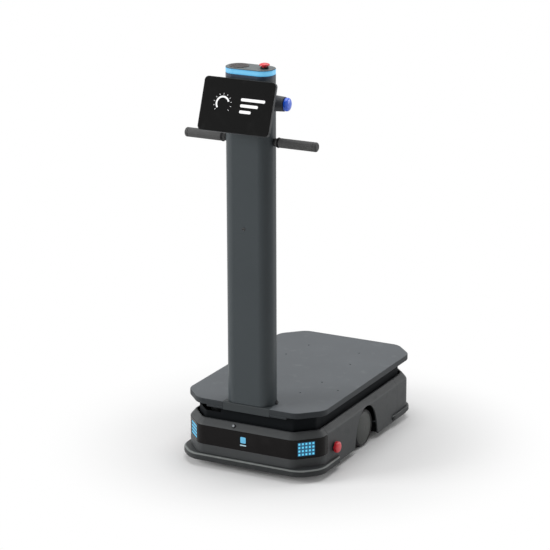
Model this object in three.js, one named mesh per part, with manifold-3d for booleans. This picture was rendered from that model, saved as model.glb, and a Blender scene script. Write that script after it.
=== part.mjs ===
import * as THREE from "three";
import { mergeVertices } from "three/addons/utils/BufferGeometryUtils.js";
import Module from "manifold-3d";

const wasm = await Module();
wasm.setup();

// A mobile transport robot with its scanners, in millimetres. +Z is up, the robot drives towards -Y,
// and +X is its left-hand side. Lengths run from the middle of the base until the last lines.

// Clearances
const seatGap = 0.3;
const coverSeam = 0.6;
const footSeam = 0.5;

// Base covers: an upright wall with a sloping shoulder, in four pieces. Each corner is cut across
// by a flat between two soft bends.
const wallHalfWidth = 246;
const wallHalfLength = 398.5;
const wallCorner = 87;
const wallFlat = 52;
const leastBend = 2;
const wallBottom = 18;
const wallTop = 141;
const coverThickness = 5;
const shoulderHeight = 20.4;
const shoulderInset = 17;
const shoulderEase = 3;
const frontSeam = -292;
const rearSeam = 240;

// Bumpers
const frontBumperReach = 13;
const frontBumperCorner = 90;
const frontBumperFlat = 14;
const rearBumperReach = 8;
const bumperBottom = 20.5;
const bumperHeight = 25.5;
const bumperRound = 4;
const frontBumperEnd = -218;
const rearBumperEnd = 200;

// Display band round the front, with a lamp matrix in each corner of it
const panelHeight = 65;
const panelLip = 1;
const panelDepth = 2.5;
const lampColumns = 5;
const lampRows = 4;
const lampPitch = 12.6;
const lampSize = 7.6;
const matrixOffset = 5;
const matrixMargin = 6;
const matrixThickness = 1.4;
const lampDepth = 0.7;

// Drive wheels, gearmotors and the arches in the side covers
const wheelRadius = 64;
const wheelWidth = 36;
const wheelRecess = 6;
const hubRadius = 56;
const hubDome = 6;
const tyreRound = 3;
const axleRadius = 8;
const axleLength = 40;
const motorRadius = 28;
const motorLength = 94;
const motorFlangeRadius = 30;
const motorFlangeThickness = 6;
const uprightThickness = 6;
const uprightRise = 46;
const uprightFoot = 18;
const uprightHang = 32;
const uprightBoreRoom = 4;
const hubToUpright = 14;
const archRise = 142;
const archHalfBottom = 91;
const archKneeIn = 11;
const archKneeRise = 0.34;
const archHipIn = 23;
const archHipRise = 0.65;
const archBrowOut = 26;
const archBrowRise = 0.86;
const archHalfTop = 22;
const hubSetIn = 2;
const wheelNotchClearance = 8;
const spineHalfWidth = 80;

// Swivel casters
const casterWheelRadius = 25;
const casterWheelWidth = 22;
const casterTrail = 20;
const casterHalfTrack = 160;
const casterHalfBase = 300;
const casterAxleRadius = 4;
const casterLegThickness = 3;
const casterLegToe = 12;
const casterLegHeel = 14;
const casterLegEnd = 8;
const casterWheelRound = 3;
const casterCrownRadius = 20;
const casterCrownThickness = 5;
const casterStemRadius = 7;
const casterNutRadius = 11;
const casterNutHeight = 6;
const casterBossRadius = 18;
const casterBossHeight = 3.7;

// Chassis floor and what stands on it
const chassisBottom = 62;
const chassisThickness = 4;
const batteryHalfWidth = 72;
const batteryFront = -170;
const batteryRear = 130;
const batteryHeight = 80;
const batteryCorner = 8;
const batteryRound = 3;
const computerHalfWidth = 70;
const computerFront = 150;
const computerRear = 292;
const computerHeight = 46;
const computerFins = 9;
const computerFinHeight = 12;
const computerFinThickness = 4;
const computerFinEdge = 5;
const computerFinInset = 4;

// Deck, its frame, and the black shroud inside the scan slot
const deckHalfWidth = 250;
const deckFrontRoom = 7.5;
const deckRearRoom = 3.5;
const deckFront = deckFrontRoom - wallHalfLength;
const deckRear = wallHalfLength - deckRearRoom;
const deckCorner = 87;
const deckFlat = 47;
const deckTop = 231;
const deckThickness = 20;
const deckBevel = 2.5;
const insertRadius = 3.2;
const insertDepth = 12;
const frameHalfTrack = 100;
const frameTube = 24;
const frameEndRoom = 66.5;
const frameHalfLength = wallHalfLength - frameEndRoom;
const frameFrontBeam = -230;
const shroudInset = 14;
const shroudThickness = 3;
const shroudHeight = 69;
const scanGapBottom = 182;
const scanGapTop = 207;
const scanGapRunX = 45;
const scanGapRunY = 50;

// Scanners, one in the front right corner of the slot and one in the rear left
const scannerX = 150;
const scannerEndRoom = 47;
const scannerY = frameHalfLength - scannerEndRoom;
const scannerRadius = 32;
const scannerBaseBottom = 126;
const scannerBaseTop = 178;
const scannerWindowHeight = 28;
const scannerWindowWall = 2;
const scannerRotorRadius = 24;
const scannerRotorHeight = 21;
const scannerSpindleRadius = 6;
const scannerSpindleDepth = 16;
const scannerArmThickness = 10;
const scannerArmWidth = 26;
const scannerArmInset = 2;

// Mast and its foot
const mastHalfWidth = 82;
const mastFrontRoom = 4;
const mastDepth = 85;
const mastFront = deckFront + mastFrontRoom;
const mastRear = mastFront + mastDepth;
const mastCorner = 39;
const mastWall = 3;
const mastTop = 1296;
const footHalfWidth = 85;
const footDrop = 28;
const footTuck = 2.2;
const footLipDepth = 27;
const footSpigot = 55;
const footSpigotWall = 6;
const footLegX = 50;
const footLegThickness = 12;
const footLegDepth = 40;
const footLegInset = 4;
const footFlangeHalfWidth = 76;
const footFlangeThickness = 8;
const footFlangeMargin = 4;
const mastSensorX = -5.5;
const mastSensorZ = 818;
const mastSensorRadius = 5;
const mastSensorDepth = 12;
const mastSensorProud = 1;

// Head of the mast: dark collar, light ring and cap
const collarHeight = 18;
const collarSpigot = 26;
const ringHeight = 16;
const ringWall = 8;
const capThickness = 2.4;
const capBevel = 1;
const capPlugDepth = 26;
const capPlugWall = 4;
const speakerX = -40;
const speakerRadius = 31;
const speakerThickness = 3;
const speakerRecess = 1.2;

// Emergency stops: one on the cap and one low on each side
const stopRimShare = 0.56;
const stopStemRadius = 7;
const stopTravel = 4;
const stopNeckRadius = 11;
const topStopX = 49;
const topStopCollarRadius = 14;
const topStopCollarHeight = 8;
const topStopRadius = 16.5;
const topStopHeight = 9;
const sideStopY = -243;
const sideStopZ = 82;
const sideStopCollarRadius = 22;
const sideStopCollarHeight = 3;
const sideStopRadius = 18.5;
const sideStopHeight = 13;
const stopBodyDepth = 22;

// Handles
const handleZ = 1101;
const handleReach = 234;
const handleBarRadius = 10;
const gripRadius = 15.3;
const gripEnd = 12;
const gripEndRound = 5;
const neckRadius = 12.5;
const handleCollarX = 90;
const handleCollarWidth = 9.5;
const handleCollarRadius = 16.6;

// Start button on the mast's left side
const startZ = 1226;
const startHousingRadius = 25.5;
const startHousingReach = 120;
const startHousingTaper = 2.5;
const startHousingRoot = 60;
const startButtonRadius = 21.5;
const startButtonHeight = 14;
const startStemRadius = 6;
const startTravel = 3;
const startStemLength = 18;

// Power button on the front shoulder
const powerX = -45;
const powerRadius = 4.5;
const powerStemRadius = 3;
const powerHeight = 3;
const powerTravel = 1.5;
const powerStemLength = 8;
const powerAlongSlope = 0.4;

// Tablet on its tilting hinge
const tabletHalfWidth = 125.6;
const tabletHalfHeight = 85.3;
const tabletCorner = 14;
const tabletThickness = 14;
const tabletBackRound = 4;
const tabletTilt = 19.9;
const tabletBezel = 2;
const glassThickness = 1.6;
const tabletStandoff = 18.6;
const tabletDrop = 8;
const hingeReach = 18;
const hingeZ = 1223;
const hingePinRadius = 3;
const hingePinHead = 4.5;
const hingeKnuckleRadius = 8;
const lugHalfWidth = 20;
const earThickness = 6;
const earGap = 0.8;
const bracketHalfWidth = 31;
const bracketHalfHeight = 30;
const bracketThickness = 5;

// Charging contacts on the rear cover
const contactsHalfWidth = 60;
const contactsHalfHeight = 18;
const contactsZ = 90;
const contactsThickness = 3;
const contactStripHeight = 8;
const contactStripEnd = 10;
const contactStripProud = 1.2;

// Facets
const cornerSteps = 8;
const wheelSteps = 28;
const roundSteps = 16;
const smallSteps = 12;
const mastSteps = 7;
const discSteps = 28;
const insertSteps = 8;

// Worked out from the sizes above
const chassisTop = chassisBottom + chassisThickness;
const floorSeat = chassisTop + seatGap;
const shoulderTop = wallTop + shoulderHeight;
const bumperTop = bumperBottom + bumperHeight;
const panelTop = wallTop - panelLip;
const panelBottom = panelTop - panelHeight;
const deckBottom = deckTop - deckThickness;
const deckSeat = deckBottom - seatGap;
const mastMiddleY = (mastFront + mastRear) / 2;
const mastBottom = deckTop + seatGap;
const collarBottom = mastTop + seatGap;
const ringBottom = collarBottom + collarHeight;
const ringTop = ringBottom + ringHeight;
const capBottom = ringTop + seatGap;
const capTop = capBottom + capThickness;
const wheelOuterX = wallHalfWidth - wheelRecess;
const wheelInnerX = wheelOuterX - wheelWidth;
const uprightOuterX = wheelInnerX - hubToUpright;
const uprightInnerX = uprightOuterX - uprightThickness;
const hingeY = mastFront - hingeReach;
const far = 2000;

// A material like the real finish.
function finish(color, roughness, metalness = 0) {
  return new THREE.MeshStandardMaterial({ color, roughness, metalness });
}

const finishes = {
  shell: finish(0x3f4244, 0.55),
  deck: finish(0x62676a, 0.6, 0.2),
  mast: finish(0x43484b, 0.45, 0.3),
  black: finish(0x121314, 0.5),
  gloss: finish(0x0b0b0c, 0.12),
  rubber: finish(0x1f2021, 0.85),
  grip: finish(0x3d3e3f, 0.8),
  hub: finish(0x4a4b49, 0.5),
  steel: finish(0x8e9296, 0.35, 0.9),
  frame: finish(0x2a2d30, 0.5, 0.5),
  red: finish(0xd81f2e, 0.35),
  blue: finish(0x1c5fe0, 0.3),
  lamp: finish(0x6fc8f5, 0.3),
  battery: finish(0x1d2a38, 0.6),
  copper: finish(0xb87333, 0.35, 0.9),
};

// A closed solid from a geometry, with its faces turned outwards.
function solidOf(geometry) {
  const plain = geometry.index ? geometry.toNonIndexed() : geometry.clone();
  plain.deleteAttribute("normal");
  plain.deleteAttribute("uv");
  const merged = mergeVertices(plain, 1e-4);
  const corners = merged.index.array;
  const triangles = [];
  for (let i = 0; i < corners.length; i += 3) {
    const [a, b, c] = corners.slice(i, i + 3);
    if (a !== b && b !== c && c !== a) triangles.push(a, b, c);
  }
  const make = (list) =>
    new wasm.Manifold(
      new wasm.Mesh({
        numProp: 3,
        vertProperties: merged.getAttribute("position").array,
        triVerts: new Uint32Array(list),
      }),
    );
  const solid = make(triangles);
  return solid.volume() < 0 ? make(triangles.reverse()) : solid;
}

function geometryOf(solid) {
  const mesh = solid.getMesh();
  const geometry = new THREE.BufferGeometry();
  geometry.setAttribute("position", new THREE.BufferAttribute(mesh.vertProperties, 3));
  geometry.setIndex(new THREE.BufferAttribute(mesh.triVerts, 1));
  geometry.computeVertexNormals();
  return geometry;
}

const join = (...solids) => solids.reduce((whole, solid) => whole.add(solid));
const cut = (solid, ...tools) => tools.reduce((rest, tool) => rest.subtract(tool), solid);
const common = (a, b) => a.intersect(b);

// A named piece in its group.
function piece(group, name, solid, material) {
  const mesh = new THREE.Mesh(geometryOf(solid), material);
  mesh.name = name;
  group.add(mesh);
  return mesh;
}

// A box between two corners.
function box(x0, x1, y0, y1, z0, z1) {
  const geometry = new THREE.BoxGeometry(x1 - x0, y1 - y0, z1 - z0);
  geometry.translate((x0 + x1) / 2, (y0 + y1) / 2, (z0 + z1) / 2);
  return solidOf(geometry);
}

// Turns a geometry made about its own Y axis so that the axis lies along X, Y or Z.
function alongAxis(geometry, axis) {
  if (axis === "x") geometry.rotateZ(-Math.PI / 2);
  if (axis === "z") geometry.rotateX(Math.PI / 2);
  return geometry;
}

// A round bar from one station to another along an axis through a point.
function rod(radius, from, to, axis, [x, y, z], steps = roundSteps) {
  const geometry = new THREE.CylinderGeometry(radius, radius, to - from, steps);
  geometry.translate(0, (from + to) / 2, 0);
  alongAxis(geometry, axis).translate(x, y, z);
  return solidOf(geometry);
}

// A turned solid: the profile holds [radius, station] pairs along the axis.
function turned(profile, axis, [x, y, z], steps = roundSteps) {
  const points = profile.map(([radius, station]) => new THREE.Vector2(radius, station));
  const geometry = new THREE.LatheGeometry(points, steps);
  alongAxis(geometry, axis).translate(x, y, z);
  return solidOf(geometry);
}

// An outline in Y and Z pulled along X.
function profileAlongX(points, x0, x1) {
  const shape = new THREE.Shape(points.map(([y, z]) => new THREE.Vector2(y, z)));
  const geometry = new THREE.ExtrudeGeometry(shape, { depth: x1 - x0, bevelEnabled: false });
  const turn = new THREE.Matrix4().makeBasis(
    new THREE.Vector3(0, 1, 0),
    new THREE.Vector3(0, 0, 1),
    new THREE.Vector3(1, 0, 0),
  );
  geometry.applyMatrix4(turn).translate(x0, 0, 0);
  return solidOf(geometry);
}

// The size of a rectangle with soft corners, and the same one drawn in by a distance. A corner
// takes up its own length of each side, and where it has a flat, the bends have what that leaves.
function outline(halfX, front, rear, corner, flat = 0) {
  return { halfX, front, rear, corner, flat };
}

function inset(size, by) {
  const { halfX, front, rear, corner, flat } = size;
  return outline(halfX - by, front + by, rear - by, corner - by, flat);
}

// The middles of an outline's bends: one in a round corner, two in a corner with a flat.
function bendMiddles({ halfX, front, rear, flat }, bend, reach) {
  const near = halfX - bend;
  const far = halfX - reach;
  if (flat === 0) {
    return [[near, rear - bend], [-near, rear - bend], [-near, front + bend], [near, front + bend]];
  }
  return [
    [near, rear - reach],
    [far, rear - bend],
    [-far, rear - bend],
    [-near, rear - reach],
    [-near, front + reach],
    [-far, front + bend],
    [far, front + bend],
    [near, front + reach],
  ];
}

// The points of an outline at one height.
function ringPoints(size, z, steps) {
  const { corner, flat } = size;
  const bend = Math.max(corner - flat, leastBend);
  const reach = corner + (bend + flat - corner) * Math.tan(Math.PI / 8);
  const middles = bendMiddles(size, bend, reach);
  const count = Math.ceil((steps * 4) / middles.length);
  return middles.flatMap(([x, y], turn) =>
    Array.from({ length: count + 1 }, (_, step) => {
      const angle = ((turn + step / count) * 2 * Math.PI) / middles.length;
      return new THREE.Vector3(x + bend * Math.cos(angle), y + bend * Math.sin(angle), z);
    }),
  );
}

// A solid through rounded rectangles at rising heights, given as [size, height] pairs.
function loft(sections, steps = cornerSteps) {
  const rings = sections.map(([size, z]) => ringPoints(size, z, steps));
  const count = rings[0].length;
  const faces = [];
  for (let level = 0; level + 1 < rings.length; level += 1) {
    for (let i = 0; i < count; i += 1) {
      const next = (i + 1) % count;
      const [low, high] = [rings[level], rings[level + 1]];
      faces.push(low[i], low[next], high[next], low[i], high[next], high[i]);
    }
  }
  const [bottom, top] = [rings[0], rings[rings.length - 1]];
  for (let i = 1; i + 1 < count; i += 1) {
    faces.push(bottom[0], bottom[i + 1], bottom[i], top[0], top[i], top[i + 1]);
  }
  return solidOf(new THREE.BufferGeometry().setFromPoints(faces));
}

const slab = (size, z0, z1, steps) => loft([[size, z0], [size, z1]], steps);
const hoop = (size, thickness, z0, z1, steps) =>
  cut(slab(size, z0, z1, steps), slab(inset(size, thickness), z0 - 1, z1 + 1, steps));

// Half-spaces that part the covers, bumpers and panel.
const inFrontOf = (y) => box(-far, far, -far, y, -far, far);
const behind = (y) => box(-far, far, y, far, -far, far);
const onSide = (side) => box(side > 0 ? 0 : -far, side > 0 ? far : 0, -far, far, -far, far);
const sides = [
  ["left", 1],
  ["right", -1],
];

// A solid made for the left side, turned half round for the right.
const forSide = (solid, side) => (side > 0 ? solid : solid.rotate([0, 0, 180]));
const mirrored = (solid, side) => (side > 0 ? solid : solid.mirror([1, 0, 0]));

const wall = outline(wallHalfWidth, -wallHalfLength, wallHalfLength, wallCorner, wallFlat);
const shoulder = inset(wall, shoulderInset);
const deckSize = outline(deckHalfWidth, deckFront, deckRear, deckCorner, deckFlat);
const mastSize = outline(mastHalfWidth, mastFront, mastRear, mastCorner);

// The slope of the front shoulder, from its eased break up to the slot.
const slopeRun = shoulderInset - shoulderEase;
const slopeRise = shoulderHeight - shoulderEase;
const slopeAngle = Math.atan2(slopeRise, slopeRun);
const powerY = shoulderEase - wallHalfLength + slopeRun * powerAlongSlope;
const powerZ = wallTop + shoulderEase + slopeRise * powerAlongSlope;

// Puts a solid made upright about the Z axis square onto the front shoulder.
const ontoShoulder = (solid) =>
  solid.rotate([(slopeAngle * 180) / Math.PI, 0, 0]).translate([powerX, powerY, powerZ]);

// The whole wall and shoulder, before it is parted into covers.
function coverSkin() {
  const outer = loft([
    [wall, wallBottom],
    [wall, wallTop],
    [inset(wall, shoulderEase), wallTop + shoulderEase],
    [shoulder, shoulderTop],
  ]);
  const inner = loft([
    [inset(wall, coverThickness), wallBottom - 1],
    [inset(wall, coverThickness), wallTop - coverThickness / 2],
    [inset(shoulder, coverThickness), shoulderTop - coverThickness / 2],
    [inset(shoulder, coverThickness), shoulderTop + 1],
  ]);
  return cut(outer, inner);
}

// The opening over a drive wheel: a half octagon with its feet on the cover's lower edge.
function archOutline() {
  const rise = archRise - wallBottom;
  const half = [
    [archHalfBottom, wallBottom - 1],
    [archHalfBottom - archKneeIn, wallBottom + rise * archKneeRise],
    [archHalfBottom - archHipIn, wallBottom + rise * archHipRise],
    [archHalfTop + archBrowOut, wallBottom + rise * archBrowRise],
    [archHalfTop, archRise],
  ];
  return [...half, ...half.map(([y, z]) => [-y, z]).reverse()];
}

const matrixHalfWidth = ((lampColumns - 1) * lampPitch) / 2 + matrixMargin;
const matrixHalfHeight = ((lampRows - 1) * lampPitch) / 2 + matrixMargin;
const matrixZ = (panelBottom + panelTop) / 2;

// The distance from a sharp corner of the wall to where its flat would start.
const flatStart = wallCorner - (wallCorner - wallFlat) * Math.tan(Math.PI / 8);

// Puts a solid, made with its front in the plane of X and Z, on the flat of a front corner.
const ontoFlat = (solid, side) =>
  mirrored(
    solid
      .translate([-matrixOffset, 0, matrixZ])
      .rotate([0, 0, 45])
      .translate([wallHalfWidth - flatStart / 2, flatStart / 2 - wallHalfLength, 0]),
    side,
  );

// One corner's lamp matrix: a thin plate with rows of raised square lamps.
function lampMatrix(side) {
  const plateFront = seatGap + lampDepth;
  const plateRear = plateFront + matrixThickness;
  const [acrossHalf, upHalf] = [matrixHalfWidth, matrixHalfHeight];
  const lamps = [box(-acrossHalf, acrossHalf, plateFront, plateRear, -upHalf, upHalf)];
  const half = lampSize / 2;
  for (let column = 0; column < lampColumns; column += 1) {
    const x = (column - (lampColumns - 1) / 2) * lampPitch;
    for (let row = 0; row < lampRows; row += 1) {
      const z = (row - (lampRows - 1) / 2) * lampPitch;
      lamps.push(box(x - half, x + half, seatGap, plateFront + lampDepth, z - half, z + half));
    }
  }
  return ontoFlat(join(...lamps), side);
}

// The window in the panel that a lamp matrix sits in.
function matrixWindow(side) {
  const [acrossHalf, upHalf] = [matrixHalfWidth + seatGap, matrixHalfHeight + seatGap];
  const window = box(-acrossHalf, acrossHalf, -panelDepth, 4 * panelDepth, -upHalf, upHalf);
  return ontoFlat(window, side);
}

function addCovers(base) {
  const skin = coverSkin();
  const recess = cut(
    slab(inset(wall, -1), panelBottom, panelTop),
    slab(inset(wall, panelDepth + seatGap), panelBottom - 1, panelTop + 1),
  );
  const powerRoom = powerStemRadius + seatGap;
  const powerHole = ontoShoulder(
    rod(powerRoom, -2 * powerStemLength, 2 * powerStemLength, "z", [0, 0, 0], smallSteps),
  );
  const front = cut(common(skin, inFrontOf(frontSeam - coverSeam / 2)), recess, powerHole);
  piece(base, "front_cover", front, finishes.shell);
  piece(base, "rear_cover", common(skin, behind(rearSeam + coverSeam / 2)), finishes.shell);

  const arch = profileAlongX(archOutline(), wallHalfWidth / 2, wallHalfWidth + 1);
  const stopHole = rod(stopNeckRadius + seatGap, wallHalfWidth / 2, far, "x", [0, sideStopY, sideStopZ]);
  const middle = cut(skin, inFrontOf(frontSeam + coverSeam / 2), behind(rearSeam - coverSeam / 2));
  for (const [word, side] of sides) {
    const tools = [arch, stopHole].map((tool) => mirrored(tool, side));
    piece(base, `${word}_cover`, cut(common(middle, onSide(side)), ...tools), finishes.shell);
  }

  const band = hoop(wall, panelDepth, panelBottom + seatGap, panelTop - seatGap);
  const panel = common(band, inFrontOf(frontSeam - coverSeam / 2));
  piece(base, "display_panel", cut(panel, matrixWindow(1), matrixWindow(-1)), finishes.gloss);
  for (const [word, side] of sides) {
    piece(base, `light_matrix_${word}`, lampMatrix(side), finishes.lamp);
  }
}

// A bumper's rounded strip on the wall, all the way round, before it is parted.
const rubberStrip = (size) =>
  cut(
    loft([
      [inset(size, bumperRound), bumperBottom],
      [size, bumperBottom + bumperRound],
      [size, bumperTop - bumperRound],
      [inset(size, bumperRound), bumperTop],
    ]),
    slab(inset(wall, -seatGap), bumperBottom - 1, bumperTop + 1),
  );

// Bumpers: a strip round each end, ending along the sides. The front one is fuller at its corners.
function addBumpers(base) {
  const frontLength = wallHalfLength + frontBumperReach;
  const frontSize = outline(
    wallHalfWidth + frontBumperReach,
    -frontLength,
    frontLength,
    frontBumperCorner,
    frontBumperFlat,
  );
  const front = common(rubberStrip(frontSize), inFrontOf(frontBumperEnd));
  piece(base, "front_bumper", front, finishes.rubber);
  const rear = common(rubberStrip(inset(wall, -rearBumperReach)), behind(rearBumperEnd));
  piece(base, "rear_bumper", rear, finishes.rubber);
}

// The floor of the base, with notches for the wheels, plates for the motors and caster bosses.
function addChassis(base) {
  const floor = slab(inset(wall, coverThickness + seatGap), chassisBottom, chassisTop);
  const notchHalf = wheelRadius + wheelNotchClearance;
  let chassis = floor;
  for (const [, side] of sides) {
    const notch = box(spineHalfWidth, far, -notchHalf, notchHalf, -far, far);
    const reach = notchHalf + uprightFoot;
    const [inner, outer] = [uprightInnerX, uprightOuterX];
    const upper = box(inner, outer, -reach, reach, chassisBottom, chassisTop + uprightRise);
    const lower = box(inner, outer, 2 - notchHalf, notchHalf - 2, wheelRadius - uprightHang, chassisTop);
    const bore = rod(axleRadius + uprightBoreRoom, 0, far, "x", [0, 0, wheelRadius]);
    const upright = cut(join(upper, lower), bore);
    chassis = join(cut(chassis, forSide(notch, side)), forSide(upright, side));
  }
  for (const x of [-casterHalfTrack, casterHalfTrack]) {
    for (const y of [-casterHalfBase, casterHalfBase]) {
      const bossBottom = chassisBottom - casterBossHeight;
      const boss = rod(casterBossRadius, bossBottom, chassisTop, "z", [x, y, 0], smallSteps);
      const hole = rod(casterStemRadius + seatGap, -far, far, "z", [x, y, 0], smallSteps);
      chassis = cut(join(chassis, boss), hole);
    }
  }
  piece(base, "chassis_frame", chassis, finishes.frame);
}

// Drive wheels on their gearmotors. The axle is one piece with the hub.
function addDrive(base) {
  const centre = [0, 0, wheelRadius];
  const hub = turned(
    [
      [0, wheelOuterX],
      [hubRadius * 0.55, wheelOuterX - hubDome * 0.25],
      [hubRadius * 0.85, wheelOuterX - hubDome * 0.65],
      [hubRadius, wheelOuterX - hubDome],
      [hubRadius, wheelInnerX + hubSetIn],
      [axleRadius, wheelInnerX + hubSetIn],
      [axleRadius, wheelInnerX - axleLength],
      [0, wheelInnerX - axleLength],
    ],
    "x",
    centre,
    wheelSteps,
  );
  const tyreBore = hubRadius + seatGap;
  const tyre = turned(
    [
      [tyreBore, wheelInnerX],
      [wheelRadius - tyreRound, wheelInnerX],
      [wheelRadius, wheelInnerX + tyreRound],
      [wheelRadius, wheelOuterX - hubDome],
      [wheelRadius - tyreRound, wheelOuterX - hubDome + tyreRound],
      [tyreBore, wheelOuterX - hubDome + tyreRound],
      [tyreBore, wheelInnerX],
    ],
    "x",
    centre,
    wheelSteps,
  );
  const flangeFace = uprightInnerX - seatGap;
  const boreEnd = wheelInnerX - axleLength - 2;
  const motor = turned(
    [
      [0, boreEnd],
      [axleRadius + seatGap, boreEnd],
      [axleRadius + seatGap, flangeFace],
      [motorFlangeRadius, flangeFace],
      [motorFlangeRadius, flangeFace - motorFlangeThickness],
      [motorRadius, flangeFace - motorFlangeThickness],
      [motorRadius, flangeFace - motorLength],
      [0, flangeFace - motorLength],
    ],
    "x",
    centre,
  );
  for (const [word, side] of sides) {
    piece(base, `drive_hub_${word}`, forSide(hub, side), finishes.hub);
    piece(base, `drive_tyre_${word}`, forSide(tyre, side), finishes.rubber);
    piece(base, `gearmotor_${word}`, forSide(motor, side), finishes.steel);
  }
}

// A swivel caster: a fork with its stem through the chassis boss, and a wheel on the fork's axle.
function addCasters(base) {
  const crownTop = chassisBottom - casterBossHeight - seatGap;
  const crownBottom = crownTop - casterCrownThickness;
  const legInner = casterWheelWidth / 2 + 1;
  const legOuter = legInner + casterLegThickness;
  const axleZ = casterWheelRadius;
  const leg = (x0, x1) =>
    profileAlongX(
      [
        [-casterLegToe, crownBottom],
        [casterTrail - casterLegEnd, axleZ - casterLegEnd],
        [casterTrail + casterLegEnd, axleZ - casterLegEnd],
        [casterTrail + casterLegEnd, axleZ + casterLegEnd],
        [casterLegHeel, crownTop],
        [-casterLegToe, crownTop],
      ],
      x0,
      x1,
    );
  const fork = join(
    rod(casterCrownRadius, crownBottom, crownTop, "z", [0, 0, 0]),
    leg(legInner, legOuter),
    leg(-legOuter, -legInner),
    rod(casterAxleRadius, -legOuter, legOuter, "x", [0, casterTrail, axleZ], smallSteps),
    rod(casterStemRadius, crownBottom, floorSeat + casterNutHeight, "z", [0, 0, 0], smallSteps),
    rod(casterNutRadius, floorSeat, floorSeat + casterNutHeight, "z", [0, 0, 0], 6),
  );
  const half = casterWheelWidth / 2;
  const bore = casterAxleRadius + seatGap;
  const wheel = turned(
    [
      [bore, -half],
      [casterWheelRadius - casterWheelRound, -half],
      [casterWheelRadius, casterWheelRound - half],
      [casterWheelRadius, half - casterWheelRound],
      [casterWheelRadius - casterWheelRound, half],
      [bore, half],
      [bore, -half],
    ],
    "x",
    [0, casterTrail, axleZ],
  );
  for (const [end, y] of [["front", -casterHalfBase], ["rear", casterHalfBase]]) {
    for (const [word, side] of sides) {
      const place = [side * casterHalfTrack, y, 0];
      piece(base, `caster_fork_${end}_${word}`, fork.translate(place), finishes.steel);
      piece(base, `caster_wheel_${end}_${word}`, wheel.translate(place), finishes.rubber);
    }
  }
}

// The battery and the finned computer, side by side along the chassis spine.
function addElectrics(base) {
  const battery = outline(batteryHalfWidth, batteryFront, batteryRear, batteryCorner);
  const batteryTop = floorSeat + batteryHeight;
  const pack = loft(
    [
      [battery, floorSeat],
      [battery, batteryTop - batteryRound],
      [inset(battery, batteryRound), batteryTop],
    ],
    3,
  );
  piece(base, "battery_pack", pack, finishes.battery);

  const top = floorSeat + computerHeight;
  const finTop = top + computerFinHeight;
  const finPitch = (2 * (computerHalfWidth - computerFinEdge)) / (computerFins - 1);
  const [finFront, finRear] = [computerFront + computerFinInset, computerRear - computerFinInset];
  const parts = [box(-computerHalfWidth, computerHalfWidth, computerFront, computerRear, floorSeat, top)];
  for (let fin = 0; fin < computerFins; fin += 1) {
    const x = computerFinEdge - computerHalfWidth + fin * finPitch;
    const half = computerFinThickness / 2;
    parts.push(box(x - half, x + half, finFront, finRear, top - 1, finTop));
  }
  piece(base, "control_computer", join(...parts), finishes.frame);

  const face = wallHalfLength + seatGap;
  const plateFace = face + contactsThickness;
  const plate = box(
    -contactsHalfWidth,
    contactsHalfWidth,
    face,
    plateFace,
    contactsZ - contactsHalfHeight,
    contactsZ + contactsHalfHeight,
  );
  const strips = [-1, 1].map((side) => {
    const z = contactsZ + (side * contactsHalfHeight) / 2;
    const half = contactStripHeight / 2;
    const reach = contactsHalfWidth - contactStripEnd;
    return box(-reach, reach, face, plateFace + contactStripProud, z - half, z + half);
  });
  piece(base, "charge_contacts", join(plate, ...strips), finishes.copper);
}

// The mast foot's plate as seen from above: a lip at the deck's front edge, and a part under the mast.
function footShape(room, z0, z1) {
  const half = footHalfWidth + room;
  const lipRear = deckFront + footLipDepth + room;
  return join(
    slab(inset(mastSize, footTuck - room), z0, z1, mastSteps),
    box(-half, half, deckFront - room, lipRear, z0, z1),
  );
}

// The deck plate with its threaded inserts, the frame that carries it and the slot's black shroud.
function addDeck(base) {
  const plate = loft([
    [inset(deckSize, deckBevel), deckBottom],
    [deckSize, deckBottom + deckBevel],
    [deckSize, deckTop - deckBevel],
    [inset(deckSize, deckBevel), deckTop],
  ]);
  const notch = footShape(footSeam, deckBottom - 1, deckTop + 1);
  const insertPlaces = [
    [122, 128],
    [97, 250],
    [118, -78],
    [101, -202],
    [201, -128],
  ];
  const holes = insertPlaces.flatMap(([x, y]) =>
    [x, -x].map((at) => rod(insertRadius, deckTop - insertDepth, far, "z", [at, y, 0], insertSteps)),
  );
  piece(base, "deck_plate", cut(plate, notch, ...holes), finishes.deck);

  const outer = frameHalfTrack + frameTube / 2;
  const inner = frameHalfTrack - frameTube / 2;
  const beamBottom = deckSeat - frameTube;
  const end = frameHalfLength;
  const members = [];
  for (const [x0, x1] of [[-outer, -inner], [inner, outer]]) {
    members.push(box(x0, x1, -end, end, beamBottom, deckSeat));
    members.push(box(x0, x1, -end, frameTube - end, floorSeat, deckSeat));
    members.push(box(x0, x1, end - frameTube, end, floorSeat, deckSeat));
  }
  members.push(box(-outer, outer, frameFrontBeam - frameTube, frameFrontBeam, beamBottom, deckSeat));
  members.push(box(-outer, outer, end - frameTube, end, beamBottom, deckSeat));
  piece(base, "deck_frame", join(...members), finishes.frame);

  const ring = hoop(inset(shoulder, shroudInset), shroudThickness, deckSeat - shroudHeight, deckSeat);
  const gap = box(
    scannerX - scanGapRunX,
    far,
    scannerY - scanGapRunY,
    far,
    scanGapBottom,
    scanGapTop,
  );
  const footRoomHalf = footHalfWidth + footSeam;
  const footRoom = box(-footRoomHalf, footRoomHalf, -far, 0, deckTop - footDrop - footSeam, far);
  piece(base, "slot_shroud", cut(ring, gap, forSide(gap, -1), footRoom), finishes.black);
}

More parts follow.
